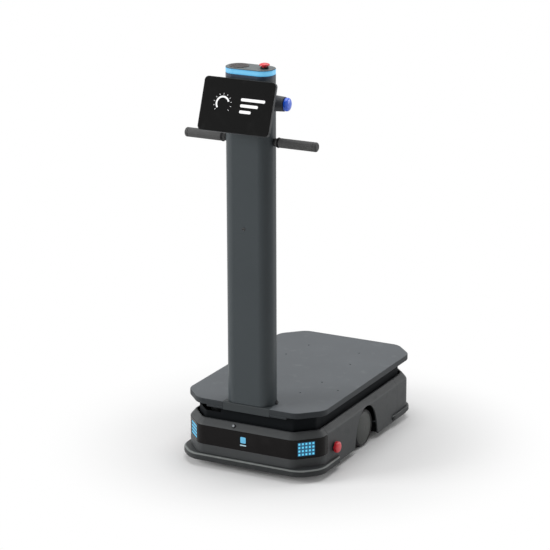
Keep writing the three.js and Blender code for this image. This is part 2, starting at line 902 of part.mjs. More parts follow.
// A scanner: a fixed base on an arm from the deck frame, a spinning rotor, and the window over it.
function addScanners(base) {
  const centre = [scannerX, scannerY, 0];
  const armEnd = frameHalfTrack + frameTube / 2 + seatGap;
  const armRear = frameHalfLength - scannerArmInset;
  const rim = scannerRadius - scannerWindowWall;
  const body = cut(
    join(
      rod(scannerRadius, scannerBaseBottom, scannerBaseTop, "z", centre),
      box(
        armEnd,
        scannerX,
        armRear - scannerArmWidth,
        armRear,
        scannerBaseBottom,
        scannerBaseBottom + scannerArmThickness,
      ),
    ),
    rod(scannerSpindleRadius + seatGap, scannerBaseTop - scannerSpindleDepth, far, "z", centre, smallSteps),
  );
  const rotorBottom = scannerBaseTop + seatGap;
  const flat = scannerRotorRadius * 0.78;
  const optics = box(-far, far, scannerY + flat, far, rotorBottom + 5, far);
  const rotor = join(
    cut(rod(scannerRotorRadius, rotorBottom, rotorBottom + scannerRotorHeight, "z", centre), optics),
    rod(
      scannerSpindleRadius,
      scannerBaseTop - scannerSpindleDepth + 1,
      rotorBottom + 1,
      "z",
      centre,
      smallSteps,
    ),
  );
  const windowTop = rotorBottom + scannerWindowHeight;
  const cover = turned(
    [
      [rim, rotorBottom],
      [scannerRadius, rotorBottom],
      [scannerRadius, windowTop - 3],
      [scannerRadius - 3, windowTop],
      [0, windowTop],
      [0, windowTop - scannerWindowWall],
      [rim, windowTop - scannerWindowWall - 1],
      [rim, rotorBottom],
    ],
    "z",
    centre,
  );
  for (const [end, side] of [["rear", 1], ["front", -1]]) {
    piece(base, `scanner_base_${end}`, forSide(body, side), finishes.black);
    piece(base, `scanner_rotor_${end}`, forSide(rotor, side), finishes.steel);
    piece(base, `scanner_window_${end}`, forSide(cover, side), finishes.gloss);
  }
}

// An emergency stop along +Z: the collar with its body below the panel, and the mushroom head.
function stopParts(collarRadius, collarRise, headRadius, headHeight) {
  const bore = stopStemRadius + seatGap;
  const stemEnd = -stopBodyDepth + stopTravel + 2;
  const collar = turned(
    [
      [0, -stopBodyDepth],
      [stopNeckRadius, -stopBodyDepth],
      [stopNeckRadius, seatGap],
      [collarRadius, seatGap],
      [collarRadius, collarRise - 1],
      [collarRadius - 1, collarRise],
      [bore, collarRise],
      [bore, stemEnd - stopTravel - 1],
      [0, stemEnd - stopTravel - 1],
    ],
    "z",
    [0, 0, 0],
  );
  const under = collarRise + stopTravel + seatGap;
  const top = under + headHeight;
  const head = turned(
    [
      [0, stemEnd],
      [stopStemRadius, stemEnd],
      [stopStemRadius, under],
      [headRadius - 2, under],
      [headRadius, under + 2],
      [headRadius, under + headHeight * stopRimShare],
      [headRadius * 0.86, top - 2.6],
      [headRadius * 0.5, top - 0.6],
      [0, top],
    ],
    "z",
    [0, 0, 0],
  );
  return { collar, head };
}

function addSideControls(base) {
  const { collar, head } = stopParts(
    sideStopCollarRadius,
    sideStopCollarHeight,
    sideStopRadius,
    sideStopHeight,
  );
  for (const [word, side] of sides) {
    const place = (solid) =>
      solid.rotate([0, side * 90, 0]).translate([side * wallHalfWidth, sideStopY, sideStopZ]);
    piece(base, `stop_collar_${word}`, place(collar), finishes.black);
    piece(base, `stop_button_${word}`, place(head), finishes.red);
  }
  const powerUnder = powerTravel + seatGap;
  const power = join(
    rod(powerStemRadius, -powerStemLength, powerUnder + 1, "z", [0, 0, 0], smallSteps),
    rod(powerRadius, powerUnder, powerUnder + powerHeight, "z", [0, 0, 0], smallSteps),
  );
  piece(base, "power_button", ontoShoulder(power), finishes.steel);
}

// The foot that bolts to the chassis and rises through the deck into the mast.
function addMast(mast) {
  const plateBottom = deckTop - footDrop;
  const spigot = inset(mastSize, mastWall + seatGap);
  const legRear = mastRear - footLegInset;
  const legFront = legRear - footLegDepth;
  const legs = [-1, 1].map((side) => {
    const x = side * footLegX;
    const half = footLegThickness / 2;
    return box(x - half, x + half, legFront, legRear, floorSeat, plateBottom + 1);
  });
  const edge = loft([
    [deckSize, plateBottom],
    [deckSize, deckTop - deckBevel],
    [inset(deckSize, deckBevel), deckTop],
  ]);
  const foot = join(
    common(footShape(0, plateBottom, deckTop), edge),
    cut(
      slab(spigot, deckTop - 1, deckTop + footSpigot, mastSteps),
      slab(inset(spigot, footSpigotWall), deckTop, far, mastSteps),
    ),
    ...legs,
    box(
      -footFlangeHalfWidth,
      footFlangeHalfWidth,
      legFront - footFlangeMargin,
      legRear + footFlangeMargin,
      floorSeat,
      floorSeat + footFlangeThickness,
    ),
  );
  piece(mast, "mast_foot", foot, finishes.mast);

  const barHole = rod(handleBarRadius + seatGap, -far, far, "x", [0, mastMiddleY, handleZ]);
  const eyeRadius = mastSensorRadius + seatGap;
  const eyeHole = rod(eyeRadius, -far, mastMiddleY, "y", [mastSensorX, 0, mastSensorZ], smallSteps);
  const stemHole = rod(startStemRadius + 2, 0, far, "x", [0, mastMiddleY, startZ], smallSteps);
  const shell = hoop(mastSize, mastWall, mastBottom, mastTop, mastSteps);
  piece(mast, "mast_tube", cut(shell, barHole, eyeHole, stemHole), finishes.mast);

  const eyeFace = mastFront - mastSensorProud;
  const eye = turned(
    [
      [0, eyeFace + 1],
      [mastSensorRadius * 0.6, eyeFace + 1],
      [mastSensorRadius * 0.7, eyeFace],
      [mastSensorRadius, eyeFace],
      [mastSensorRadius, eyeFace + mastSensorDepth],
      [0, eyeFace + mastSensorDepth],
    ],
    "y",
    [mastSensorX, 0, mastSensorZ],
    smallSteps,
  );
  piece(mast, "mast_sensor", eye, finishes.gloss);
}

// The dark collar, the light ring, the cap, the speaker and the stop on top.
function addHead(mast) {
  const spigot = inset(mastSize, mastWall + seatGap);
  const inside = inset(mastSize, ringWall);
  const collar = cut(
    join(
      slab(mastSize, collarBottom, ringBottom - seatGap, mastSteps),
      slab(spigot, collarBottom - collarSpigot, collarBottom + 1, mastSteps),
    ),
    slab(inside, -far, far, mastSteps),
  );
  piece(mast, "head_collar", collar, finishes.black);
  const ring = hoop(mastSize, ringWall, ringBottom, ringTop, mastSteps);
  piece(mast, "light_ring", ring, finishes.lamp);

  const plug = inset(inside, seatGap);
  const neckHole = rod(stopNeckRadius + seatGap, -far, far, "z", [topStopX, mastMiddleY, 0]);
  const speakerPlace = [speakerX, mastMiddleY, 0];
  const seat = rod(speakerRadius + seatGap, capTop - speakerRecess, far, "z", speakerPlace, discSteps);
  const lid = loft(
    [
      [mastSize, capBottom],
      [mastSize, capTop - capBevel],
      [inset(mastSize, capBevel), capTop],
    ],
    mastSteps,
  );
  const skirt = cut(
    slab(plug, capBottom - capPlugDepth, capBottom + capBevel / 2, mastSteps),
    slab(inset(plug, capPlugWall), -far, capBottom, mastSteps),
  );
  const cap = cut(join(lid, skirt), neckHole, seat);
  piece(mast, "top_cap", cap, finishes.mast);

  const speakerBottom = capTop - speakerRecess + seatGap;
  const speaker = turned(
    [
      [0, speakerBottom],
      [speakerRadius, speakerBottom],
      [speakerRadius, speakerBottom + speakerThickness - 1],
      [speakerRadius - 1.5, speakerBottom + speakerThickness],
      [speakerRadius - 4, speakerBottom + speakerThickness - 0.6],
      [0, speakerBottom + speakerThickness - 0.6],
    ],
    "z",
    speakerPlace,
    discSteps,
  );
  piece(mast, "speaker_grille", speaker, finishes.black);

  const { collar: stopCollar, head } = stopParts(
    topStopCollarRadius,
    topStopCollarHeight - stopTravel,
    topStopRadius,
    topStopHeight,
  );
  const place = [topStopX, mastMiddleY, capTop];
  piece(mast, "stop_collar_top", stopCollar.translate(place), finishes.black);
  piece(mast, "stop_button_top", head.translate(place), finishes.red);
}

// One bar through the mast with a collar and a rubber grip on each side.
function addHandles(mast) {
  const centre = [0, mastMiddleY, handleZ];
  const barEnd = handleReach - gripEnd;
  const collarEnd = handleCollarX + handleCollarWidth;
  const half = [
    [handleBarRadius, mastHalfWidth + seatGap],
    [neckRadius, mastHalfWidth + seatGap],
    [neckRadius, handleCollarX],
    [handleCollarRadius, handleCollarX],
    [handleCollarRadius, collarEnd],
    [handleBarRadius, collarEnd],
    [handleBarRadius, barEnd],
    [0, barEnd],
  ];
  const farHalf = half.map(([radius, station]) => [radius, -station]).reverse();
  piece(mast, "handle_bar", turned([...farHalf, ...half], "x", centre), finishes.black);

  const bore = handleBarRadius + seatGap;
  const grip = turned(
    [
      [bore, collarEnd + seatGap],
      [gripRadius, collarEnd + seatGap],
      [gripRadius, handleReach - gripEndRound],
      [gripRadius - gripEndRound * 0.3, handleReach - gripEndRound * 0.3],
      [gripRadius - gripEndRound, handleReach],
      [0, handleReach],
      [0, barEnd + seatGap],
      [bore, barEnd + seatGap],
      [bore, collarEnd + seatGap],
    ],
    "x",
    [0, 0, 0],
  );
  for (const [word, side] of sides) {
    piece(mast, `handle_grip_${word}`, forSide(grip, side).translate(centre), finishes.grip);
  }
}

// The start button in its round housing, which is cut to sit on the mast's side.
function addStartButton(mast) {
  const centre = [0, mastMiddleY, startZ];
  const bore = startStemRadius + seatGap;
  const stemEnd = startHousingReach - startStemLength;
  const tip = startHousingRadius - startHousingTaper;
  const blank = turned(
    [
      [0, startHousingRoot],
      [startHousingRadius, startHousingRoot],
      [startHousingRadius, mastHalfWidth],
      [tip, startHousingReach - 1],
      [tip - 1, startHousingReach],
      [bore, startHousingReach],
      [bore, stemEnd - startTravel - 2],
      [0, stemEnd - startTravel - 2],
    ],
    "x",
    centre,
  );
  const housing = cut(blank, slab(inset(mastSize, -seatGap), 0, far));
  piece(mast, "start_button_housing", housing, finishes.black);

  const under = startHousingReach + startTravel + seatGap;
  const top = under + startButtonHeight;
  const button = turned(
    [
      [0, stemEnd],
      [startStemRadius, stemEnd],
      [startStemRadius, under],
      [startButtonRadius, under],
      [startButtonRadius, top - 7],
      [startButtonRadius * 0.9, top - 3.4],
      [startButtonRadius * 0.6, top - 1],
      [0, top],
    ],
    "x",
    centre,
  );
  piece(mast, "start_button", button, finishes.blue);
}

// The bracket on the mast, its hinge pin, and the tablet that tilts on it.
function addTablet(mast) {
  const hinge = [0, hingeY, hingeZ];
  const earInner = lugHalfWidth + earGap;
  const earOuter = earInner + earThickness;
  const plateFace = mastFront - seatGap - bracketThickness;
  const ears = sides.map(([, side]) => {
    const [x0, x1] = side > 0 ? [earInner, earOuter] : [-earOuter, -earInner];
    const [low, high] = [hingeZ - hingeKnuckleRadius, hingeZ + hingeKnuckleRadius];
    const arm = box(x0, x1, hingeY, plateFace + 1, low, high);
    return join(arm, rod(hingeKnuckleRadius, x0, x1, "x", hinge));
  });
  const plate = box(
    -bracketHalfWidth,
    bracketHalfWidth,
    plateFace,
    mastFront - seatGap,
    hingeZ - bracketHalfHeight,
    hingeZ + bracketHalfHeight,
  );
  const pinHole = rod(hingePinRadius + seatGap, -far, far, "x", hinge, smallSteps);
  piece(mast, "tablet_bracket", cut(join(plate, ...ears), pinHole), finishes.frame);

  const pinEnd = earOuter + seatGap;
  const pin = join(
    rod(hingePinRadius, -pinEnd, pinEnd, "x", hinge, smallSteps),
    rod(hingePinHead, pinEnd, pinEnd + 2, "x", hinge, smallSteps),
    rod(hingePinHead, -pinEnd - 2, -pinEnd, "x", hinge, smallSteps),
  );
  piece(mast, "tablet_pin", pin, finishes.steel);

  const tablet = new THREE.Group();
  tablet.position.set(...hinge);
  tablet.rotation.x = THREE.MathUtils.degToRad(-tabletTilt);
  mast.add(tablet);

  // The tablet is made lying on its face and then stood up in front of the hinge.
  const standUp = (solid) => {
    const back = -tabletStandoff - tabletThickness;
    return solid.rotate([90, 0, 0]).mirror([0, 1, 0]).translate([0, back, -tabletDrop]);
  };
  const size = outline(tabletHalfWidth, -tabletHalfHeight, tabletHalfHeight, tabletCorner);
  const glassSize = inset(size, tabletBezel);
  const glassSeat = inset(glassSize, -seatGap);
  const shell = cut(
    loft(
      [
        [inset(size, 1), 0],
        [size, 1],
        [size, tabletThickness - tabletBackRound],
        [inset(size, tabletBackRound), tabletThickness],
      ],
      6,
    ),
    slab(glassSeat, -1, glassThickness + seatGap, 6),
  );
  const lug = cut(
    join(
      rod(hingeKnuckleRadius, -lugHalfWidth, lugHalfWidth, "x", [0, 0, 0]),
      box(
        -lugHalfWidth,
        lugHalfWidth,
        -tabletStandoff - 1,
        0,
        -hingeKnuckleRadius,
        hingeKnuckleRadius,
      ),
    ),
    rod(hingePinRadius + seatGap, -far, far, "x", [0, 0, 0], smallSteps),
  );
  piece(tablet, "tablet_case", join(standUp(shell), lug), finishes.black);
  piece(tablet, "tablet_glass", standUp(slab(glassSize, 0, glassThickness, 6)), finishes.gloss);
}

const robot = new THREE.Group();
const base = new THREE.Group();
const mast = new THREE.Group();
robot.add(base, mast);
addCovers(base);
addBumpers(base);
addChassis(base);
addDrive(base);
addCasters(base);
addElectrics(base);
addDeck(base);
addScanners(base);
addSideControls(base);
addMast(mast);
addHead(mast);
addHandles(mast);
addStartButton(mast);
addTablet(mast);

// The origin is on the ground, under the middle of the robot's whole length.
robot.updateMatrixWorld(true);
const reach = new THREE.Box3().setFromObject(robot, true);
robot.position.y = -(reach.min.y + reach.max.y) / 2;

export default robot;
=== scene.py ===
"""A mobile transport robot: a wheeled base with a load deck, and a mast with a tablet."""

import math

import bmesh
import bpy
from mathutils import Matrix, Vector


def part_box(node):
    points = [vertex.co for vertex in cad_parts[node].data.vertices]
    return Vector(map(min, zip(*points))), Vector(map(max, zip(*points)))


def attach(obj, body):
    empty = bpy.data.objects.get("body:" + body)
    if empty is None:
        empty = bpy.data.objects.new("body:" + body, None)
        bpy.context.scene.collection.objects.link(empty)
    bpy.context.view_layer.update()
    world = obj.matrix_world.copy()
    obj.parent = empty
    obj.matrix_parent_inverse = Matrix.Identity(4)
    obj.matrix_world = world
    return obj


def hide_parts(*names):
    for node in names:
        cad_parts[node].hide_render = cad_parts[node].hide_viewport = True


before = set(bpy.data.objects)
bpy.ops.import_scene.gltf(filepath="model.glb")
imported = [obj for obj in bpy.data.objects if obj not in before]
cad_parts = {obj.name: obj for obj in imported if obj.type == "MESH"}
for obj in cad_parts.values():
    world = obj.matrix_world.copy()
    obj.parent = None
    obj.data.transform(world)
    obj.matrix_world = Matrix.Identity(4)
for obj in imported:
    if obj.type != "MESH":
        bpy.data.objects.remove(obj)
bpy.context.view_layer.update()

# Chassis frame: the folded steel floor that everything stands on, with an upright plate beside each
# drive wheel and a boss for each caster. It is welded and powder coated dark grey, and the covers
# hang on it.


class Signal:
    """A socket that can stand in a sum, such as 1 - mask. The sum adds its own Math nodes."""

    def __init__(self, tree, socket):
        self.tree = tree
        self.socket = socket

    def __add__(self, other):
        return self.tree.sum("ADD", self, other)

    def __radd__(self, other):
        return self.tree.sum("ADD", other, self)

    def __sub__(self, other):
        return self.tree.sum("SUBTRACT", self, other)

    def __rsub__(self, other):
        return self.tree.sum("SUBTRACT", other, self)

    def __mul__(self, other):
        return self.tree.sum("MULTIPLY", self, other)

    def __truediv__(self, other):
        return self.tree.sum("DIVIDE", self, other)

    def __pow__(self, other):
        return self.tree.sum("POWER", self, other)

    def __gt__(self, other):
        return self.tree.sum("GREATER_THAN", self, other)


class NodeTree:
    """What materials, backdrops and Geometry Nodes patterns share: short ways to add a node."""

    def node(self, kind, settings=None, inputs=None, output=0):
        made = self.tree.nodes.new(kind)
        for key, value in (settings or {}).items():
            setattr(made, key, value)
        for key, value in (inputs or {}).items():
            self.feed(made.inputs[key], value)
        return Signal(self, made.outputs[output])

    def feed(self, socket, value):
        if isinstance(value, Signal):
            self.tree.links.new(value.socket, socket)
        else:
            socket.default_value = value

    def sum(self, operation, first, second=0.0):
        return self.node("ShaderNodeMath", {"operation": operation}, {0: first, 1: second})

    def part(self, vector, axis):
        return self.node("ShaderNodeSeparateXYZ", inputs={0: vector}, output=axis)

    def length(self, vector):
        return self.node("ShaderNodeVectorMath", {"operation": "LENGTH"}, {0: vector}, "Value")

    def ramp(self, value, low, high):
        """0 below low, 1 above high, and a smooth rise between them."""
        values = {"Value": value, "From Min": low, "From Max": high}
        return self.node("ShaderNodeMapRange", {"interpolation_type": "SMOOTHSTEP"}, values)


class Finish(NodeTree):
    """A material under construction, on the piece's own Object coordinates."""

    def __init__(self, name):
        self.material = bpy.data.materials.new(name)
        self.material.use_nodes = True
        self.tree = self.material.node_tree
        self.shader = self.tree.nodes["Principled BSDF"]
        self.place = self.node("ShaderNodeTexCoord", output="Object")

    def along(self, axis):
        return self.part(self.place, axis)

    def facing(self, axis):
        """How far the surface looks along an axis, from -1 to 1."""
        return self.part(self.node("ShaderNodeNewGeometry", output="Normal"), axis)

    def noise(self, scale, detail=3.0):
        values = {"Vector": self.place, "Scale": scale, "Detail": detail}
        return self.node("ShaderNodeTexNoise", inputs=values, output="Fac")

    def cells(self, scale, output, **settings):
        values = {"Vector": self.place, "Scale": scale}
        return self.node("ShaderNodeTexVoronoi", settings, values, output)

    def mix(self, factor, first, second):
        values = {0: factor, 6: first, 7: second}
        return self.node("ShaderNodeMix", {"data_type": "RGBA"}, values, 2)

    def bump(self, height, distance):
        values = {"Strength": 1.0, "Distance": distance, "Height": height}
        return self.node("ShaderNodeBump", inputs=values, output="Normal")

    def done(self, **values):
        for name, value in values.items():
            self.feed(self.shader.inputs[name.replace("_", " ")], value)
        return self.material


def shade(red, green, blue):
    """A screen colour, 0 to 255, as the shader's linear values."""
    parts = [value / 255 for value in (red, green, blue)]
    curve = [p / 12.92 if p <= 0.04045 else ((p + 0.055) / 1.055) ** 2.4 for p in parts]
    return (*curve, 1.0)


def powder_coat(name, pale, deep, roughness):
    """Baked paint with a fine orange peel, a little dust lying on what faces up."""
    coat = Finish(name)
    peel = coat.noise(700, 2.0)
    cloud = coat.noise(9, 4.0)
    dust = coat.ramp(coat.facing("Z"), 0.5, 1.0) * coat.ramp(coat.noise(38, 5.0), 0.42, 0.75)
    return coat.done(
        Base_Color=coat.mix(dust * 0.22, coat.mix(cloud, deep, pale), shade(120, 118, 112)),
        Roughness=roughness + dust * 0.25 + (cloud - 0.5) * 0.12,
        Specular_IOR_Level=0.3,
        Normal=coat.bump(peel, 0.00012),
    )


def settled(piece):
    """Puts a piece's modifiers into its mesh and takes them off."""
    evaluated = piece.evaluated_get(bpy.context.evaluated_depsgraph_get())
    mesh = bpy.data.meshes.new_from_object(evaluated)
    piece.modifiers.clear()
    piece.data = mesh
    return piece


def smooth(piece, angle=32):
    """Shades a piece smooth, apart from edges sharper than the angle, and keeps flat faces flat."""
    piece.data.shade_smooth()
    piece.data.set_sharp_from_angle(angle=math.radians(angle))
    weighted = piece.modifiers.new("weighted", "WEIGHTED_NORMAL")
    weighted.keep_sharp = True
    return settled(piece)


def linked(name, shape):
    """A bmesh as an object, with its doubles merged and its faces turned outwards."""
    bmesh.ops.remove_doubles(shape, verts=shape.verts, dist=2e-6)
    bmesh.ops.dissolve_degenerate(shape, dist=2e-6, edges=shape.edges)
    bmesh.ops.recalc_face_normals(shape, faces=shape.faces)
    mesh = bpy.data.meshes.new(name)
    shape.to_mesh(mesh)
    shape.free()
    piece = bpy.data.objects.new(name, mesh)
    bpy.context.scene.collection.objects.link(piece)
    return piece


def bevelled(piece, width, segments=2, angle=35):
    """Eases every edge sharper than the angle."""
    edge = piece.modifiers.new("edge", "BEVEL")
    edge.width = width
    edge.segments = segments
    edge.limit_method = "ANGLE"
    edge.angle_limit = math.radians(angle)
    edge.miter_outer = "MITER_ARC"
    return smooth(settled(piece))


def from_cad(node, name, width):
    """A copy of a CAD node with whole faces again and eased edges."""
    shape = bmesh.new()
    shape.from_mesh(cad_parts[node].data)
    bmesh.ops.remove_doubles(shape, verts=shape.verts, dist=1e-6)
    flat = math.radians(0.5)
    bmesh.ops.dissolve_limit(shape, angle_limit=flat, verts=shape.verts, edges=shape.edges)
    return bevelled(linked(name, shape), width)


def dress(piece, material, body, slot, *nodes):
    """Gives a finished piece its material, the body that carries it and the nodes it stands for."""
    piece.data.materials.clear()
    piece.data.materials.append(material)
    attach(piece, body)
    if nodes:
        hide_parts(*nodes)
    return piece


frame_paint = powder_coat("frame_powder_coat", shade(52, 55, 58), shade(38, 41, 44), 0.5)
chassis_floor = from_cad("chassis_frame", "chassis_floor", 0.0007)
dress(chassis_floor, frame_paint, "chassis", "frame", "chassis_frame")

# Gearmotors: a planetary one for each drive wheel, turned aluminium with a flange that is screwed
# to the upright plate. The motor can is blackened steel, and the brake sits at its inner end.

sides = (("left", 1), ("right", -1))


def eased(path, reach, steps=5, closed=False):
    """Rounds the corners of a path. Its points may carry more numbers, as lofted sections do."""
    count = len(path)
    made = []
    for index, corner in enumerate(path):
        if not closed and index in (0, count - 1):
            made.append(tuple(corner))
            continue
        ends = []
        for other in (path[index - 1], path[(index + 1) % count]):
            length = math.dist((corner[0], corner[-1]), (other[0], other[-1]))
            share = min(reach / length, 0.5) if length else 0
            ends.append([c + (o - c) * share for c, o in zip(corner, other)])
        for step in range(steps + 1):
            t = step / steps
            parts = zip(ends[0], corner, ends[1])
            made.append(
                tuple((1 - t) ** 2 * a + 2 * t * (1 - t) * c + t * t * b for a, c, b in parts)
            )
    return made


def turned(name, profile, axis, centre, closed=False, steps=64):
    """A turned piece: its profile holds (radius, station) pairs along an axis through a point."""
    order = {"X": (2, 0, 1), "Y": (1, 2, 0), "Z": (0, 1, 2)}[axis]
    shape = bmesh.new()
    rings = []
    for radius, station in profile:
        ring = []
        for step in range(steps if radius > 1e-7 else 1):
            angle = 2 * math.pi * step / steps
            local = (radius * math.cos(angle), radius * math.sin(angle), station)
            ring.append(shape.verts.new([local[order[k]] + centre[k] for k in range(3)]))
        rings.append(ring)
    pairs = list(zip(rings, rings[1:]))
    if closed:
        pairs.append((rings[-1], rings[0]))
    for low, high in pairs:
        if len(low) == 1 and len(high) == 1:
            continue
        for step in range(steps):
            after = (step + 1) % steps
            corners = [low[step % len(low)], low[after % len(low)]]
            corners += [high[after % len(high)], high[step % len(high)]]
            shape.faces.new(list(dict.fromkeys(corners)))
    return smooth(linked(name, shape))


def to_side(profile, side):
    """A profile drawn for the left side of the robot, on the left (1) or on the right (-1)."""
    return [(radius, side * station) for radius, station in profile]


def middle_of(node):
    low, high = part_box(node)
    return (low + high) / 2


def reach_of(node):
    """How near the robot's middle plane a CAD node begins, and how far from it the node ends."""
    low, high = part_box(node)
    return sorted((abs(low.x), abs(high.x)))


def two_tone(piece, second, chosen):
    """Gives a dressed piece a second material on the faces whose middles are chosen."""
    piece.data.materials.append(second)
    for face in piece.data.polygons:
        if chosen(face.center):
            face.material_index = 1


motor_can = powder_coat("motor_black_oxide", shade(44, 45, 47), shade(30, 31, 33), 0.38)
brushed = Finish("turned_aluminium")
tool_marks = brushed.node(
    "ShaderNodeTexWave",
    {"wave_type": "BANDS", "bands_direction": "X"},
    {"Vector": brushed.place, "Scale": 900.0, "Distortion": 0.6, "Detail": 2.0},
    "Fac",
)
turned_aluminium = brushed.done(
    Base_Color=brushed.mix(brushed.noise(60), shade(150, 152, 155), shade(176, 178, 180)),
    Metallic=1.0,
    Roughness=0.3 + brushed.noise(120) * 0.16,
    Normal=brushed.bump(tool_marks, 0.00002),
)
motor_radius, flange_radius, flange_thickness = 0.028, 0.030, 0.006
gearbox_length, groove_depth, groove_width = 0.038, 0.0012, 0.003
for side_word, side in sides:
    inner, outer = reach_of(f"gearmotor_{side_word}")
    wheel_axis = middle_of(f"gearmotor_{side_word}")
    gearbox_end = outer - gearbox_length
    body_profile = [
        (0, outer),
        (flange_radius, outer),
        (flange_radius, outer - flange_thickness),
        (motor_radius, outer - flange_thickness),
        (motor_radius, gearbox_end),
        (motor_radius - groove_depth, gearbox_end),
        (motor_radius - groove_depth, gearbox_end - groove_width),
        (motor_radius, gearbox_end - groove_width),
        (motor_radius, inner),
        (0, inner),
    ]
    profile = to_side(eased(body_profile, 0.0008, 2), side)
    motor = turned(f"wheel_motor_{side_word}", profile, "X", (0, wheel_axis.y, wheel_axis.z))
    dress(motor, motor_can, "chassis", "motor", f"gearmotor_{side_word}")
    two_tone(motor, turned_aluminium, lambda middle: abs(middle.x) > gearbox_end - 0.0005)

# Drive wheels: a cast hub with a smooth domed disc of dark plastic pressed over it, and a rubber
# tyre with fine cross ribs. The hub is one piece with its axle, which runs into the gearmotor.


def wire(name, points, edge_count):
    """Loose points, or points joined in a row by edges. As many edges as points close the row."""
    mesh = bpy.data.meshes.new(name)
    mesh.from_pydata(points, [(k, (k + 1) % len(points)) for k in range(edge_count)], [])
    made = bpy.data.objects.new(name, mesh)
    bpy.context.scene.collection.objects.link(made)
    return made


class Pattern(NodeTree):
    """A Geometry Nodes tree with named inputs. grow() runs it once and keeps a plain mesh."""

    sockets = {
        int: "NodeSocketInt",
        float: "NodeSocketFloat",
        tuple: "NodeSocketVector",
        bpy.types.Object: "NodeSocketObject",
        bpy.types.Material: "NodeSocketMaterial",
    }

    def __init__(self, name, **kinds):
        self.tree = bpy.data.node_groups.new(name, "GeometryNodeTree")
        sockets = self.tree.interface
        sockets.new_socket("Geometry", in_out="INPUT", socket_type="NodeSocketGeometry")
        sockets.new_socket("Geometry", in_out="OUTPUT", socket_type="NodeSocketGeometry")
        self.names = {}
        for label, kind in {**kinds, "Finish": bpy.types.Material}.items():
            made = sockets.new_socket(label, in_out="INPUT", socket_type=self.sockets[kind])
            self.names[label] = made.identifier
        self.entry = self.tree.nodes.new("NodeGroupInput")

    def __getitem__(self, name):
        return Signal(self, self.entry.outputs[name])

    def point(self, x=0.0, y=0.0, z=0.0):
        return self.node("ShaderNodeCombineXYZ", inputs={0: x, 1: y, 2: z})

    def geometry(self, kind, **values):
        """A geometry node by the short name of its kind and of its inputs."""
        inputs = {label.replace("_", " "): value for label, value in values.items()}
        return self.node("GeometryNode" + kind, inputs=inputs)

    def shape_of(self, label):
        """The mesh of an object that is handed in."""
        settings = {"transform_space": "ORIGINAL"}
        return self.node("GeometryNodeObjectInfo", settings, {"Object": self[label]}, "Geometry")

    def close(self, geometry):
        """Makes the copies real, gives them their finish and sends them out."""
        real = self.geometry("RealizeInstances", Geometry=geometry)
        exit_node = self.tree.nodes.new("NodeGroupOutput")
        last = self.geometry("SetMaterial", Geometry=real, Material=self["Finish"])
        self.feed(exit_node.inputs[0], last)

    def grow(self, name, points=(), path=False, **values):
        """The points are places for copies or, with path set, the bends of a path."""
        piece = wire(name, [tuple(point) for point in points], len(points) - 1 if path else 0)
        modifier = piece.modifiers.new("pattern", "NODES")
        modifier.node_group = self.tree
        for label, value in values.items():
            modifier[self.names[label]] = value
        settled(piece)
        shape = bmesh.new()
        shape.from_mesh(piece.data)
        bmesh.ops.recalc_face_normals(shape, faces=shape.faces)
        shape.to_mesh(piece.data)
        shape.free()
        return smooth(piece)


def clouded(name, cloud, deep, pale, rough, grain=None, coat=None, **constant):
    """A finish whose tone, roughness and coat follow one noise. The cloud is its scale and detail,
    rough and coat are a least value and a gain, and grain is the bump's scale, detail and depth."""
    made = Finish(name)
    tone = made.noise(*cloud)
    varied = {"Base_Color": made.mix(tone, deep, pale), "Roughness": rough[0] + tone * rough[1]}
    if coat:
        varied["Coat_Weight"] = coat[0] + tone * coat[1]
    if grain:
        scale, detail, depth = grain
        varied["Normal"] = made.bump(made.noise(scale, detail), depth)
    return made.done(**varied, **constant)


ribs = Pattern(
    "ribs_round_a_tyre",
    Count=int,
    Radius=float,
    Length=float,
    Width=float,
    Height=float,
    Centre=tuple,
)
circle = ribs.geometry("MeshCircle", Vertices=ribs["Count"], Radius=ribs["Radius"])
bar = ribs.geometry("MeshCube", Size=ribs.point(ribs["Height"], ribs["Width"], ribs["Length"]))
turn_of_bar = ribs.geometry("InputIndex") * (2 * math.pi) / ribs["Count"]
bars = ribs.geometry(
    "InstanceOnPoints", Points=circle, Instance=bar, Rotation=ribs.point(z=turn_of_bar)
)
onto_x = (0, math.pi / 2, 0)
ribs.close(ribs.geometry("Transform", Geometry=bars, Translation=ribs["Centre"], Rotation=onto_x))

rubber = Finish("tyre_rubber")
scuff = rubber.ramp(rubber.noise(70, 5.0), 0.5, 0.8)
tyre_rubber = rubber.done(
    Base_Color=rubber.mix(scuff * 0.5, shade(30, 30, 31), shade(62, 61, 59)),
    Roughness=0.72 + scuff * 0.2,
    Normal=rubber.bump(rubber.noise(900, 2.0), 0.0001),
)
wheel_plastic = clouded(
    "wheel_disc_plastic",
    (14, 4.0),
    shade(58, 60, 58),
    shade(68, 70, 68),
    (0.42, 0.14),
    (800, 2.0, 0.00008),
    Specular_IOR_Level=0.3,
)
wheel_radius, hub_radius, axle_radius = 0.064, 0.056, 0.008
hub_dome, dimple, fit_gap = 0.006, 0.0007, 0.0003
dome_shares = [(0.55, 0.25), (0.78, 0.52), (0.90, 0.76), (0.925, 0.98), (0.94, 0.98)]
dome_shares += [(0.955, 0.80), (1, 0.95)]
hub_back = [(hub_radius, 0.002), (0.040, 0.002), (0.036, 0.006), (0.022, 0.006), (0.018, 0.002)]
rib_count, rib_width, tread = 72, 0.0026, 0.0012
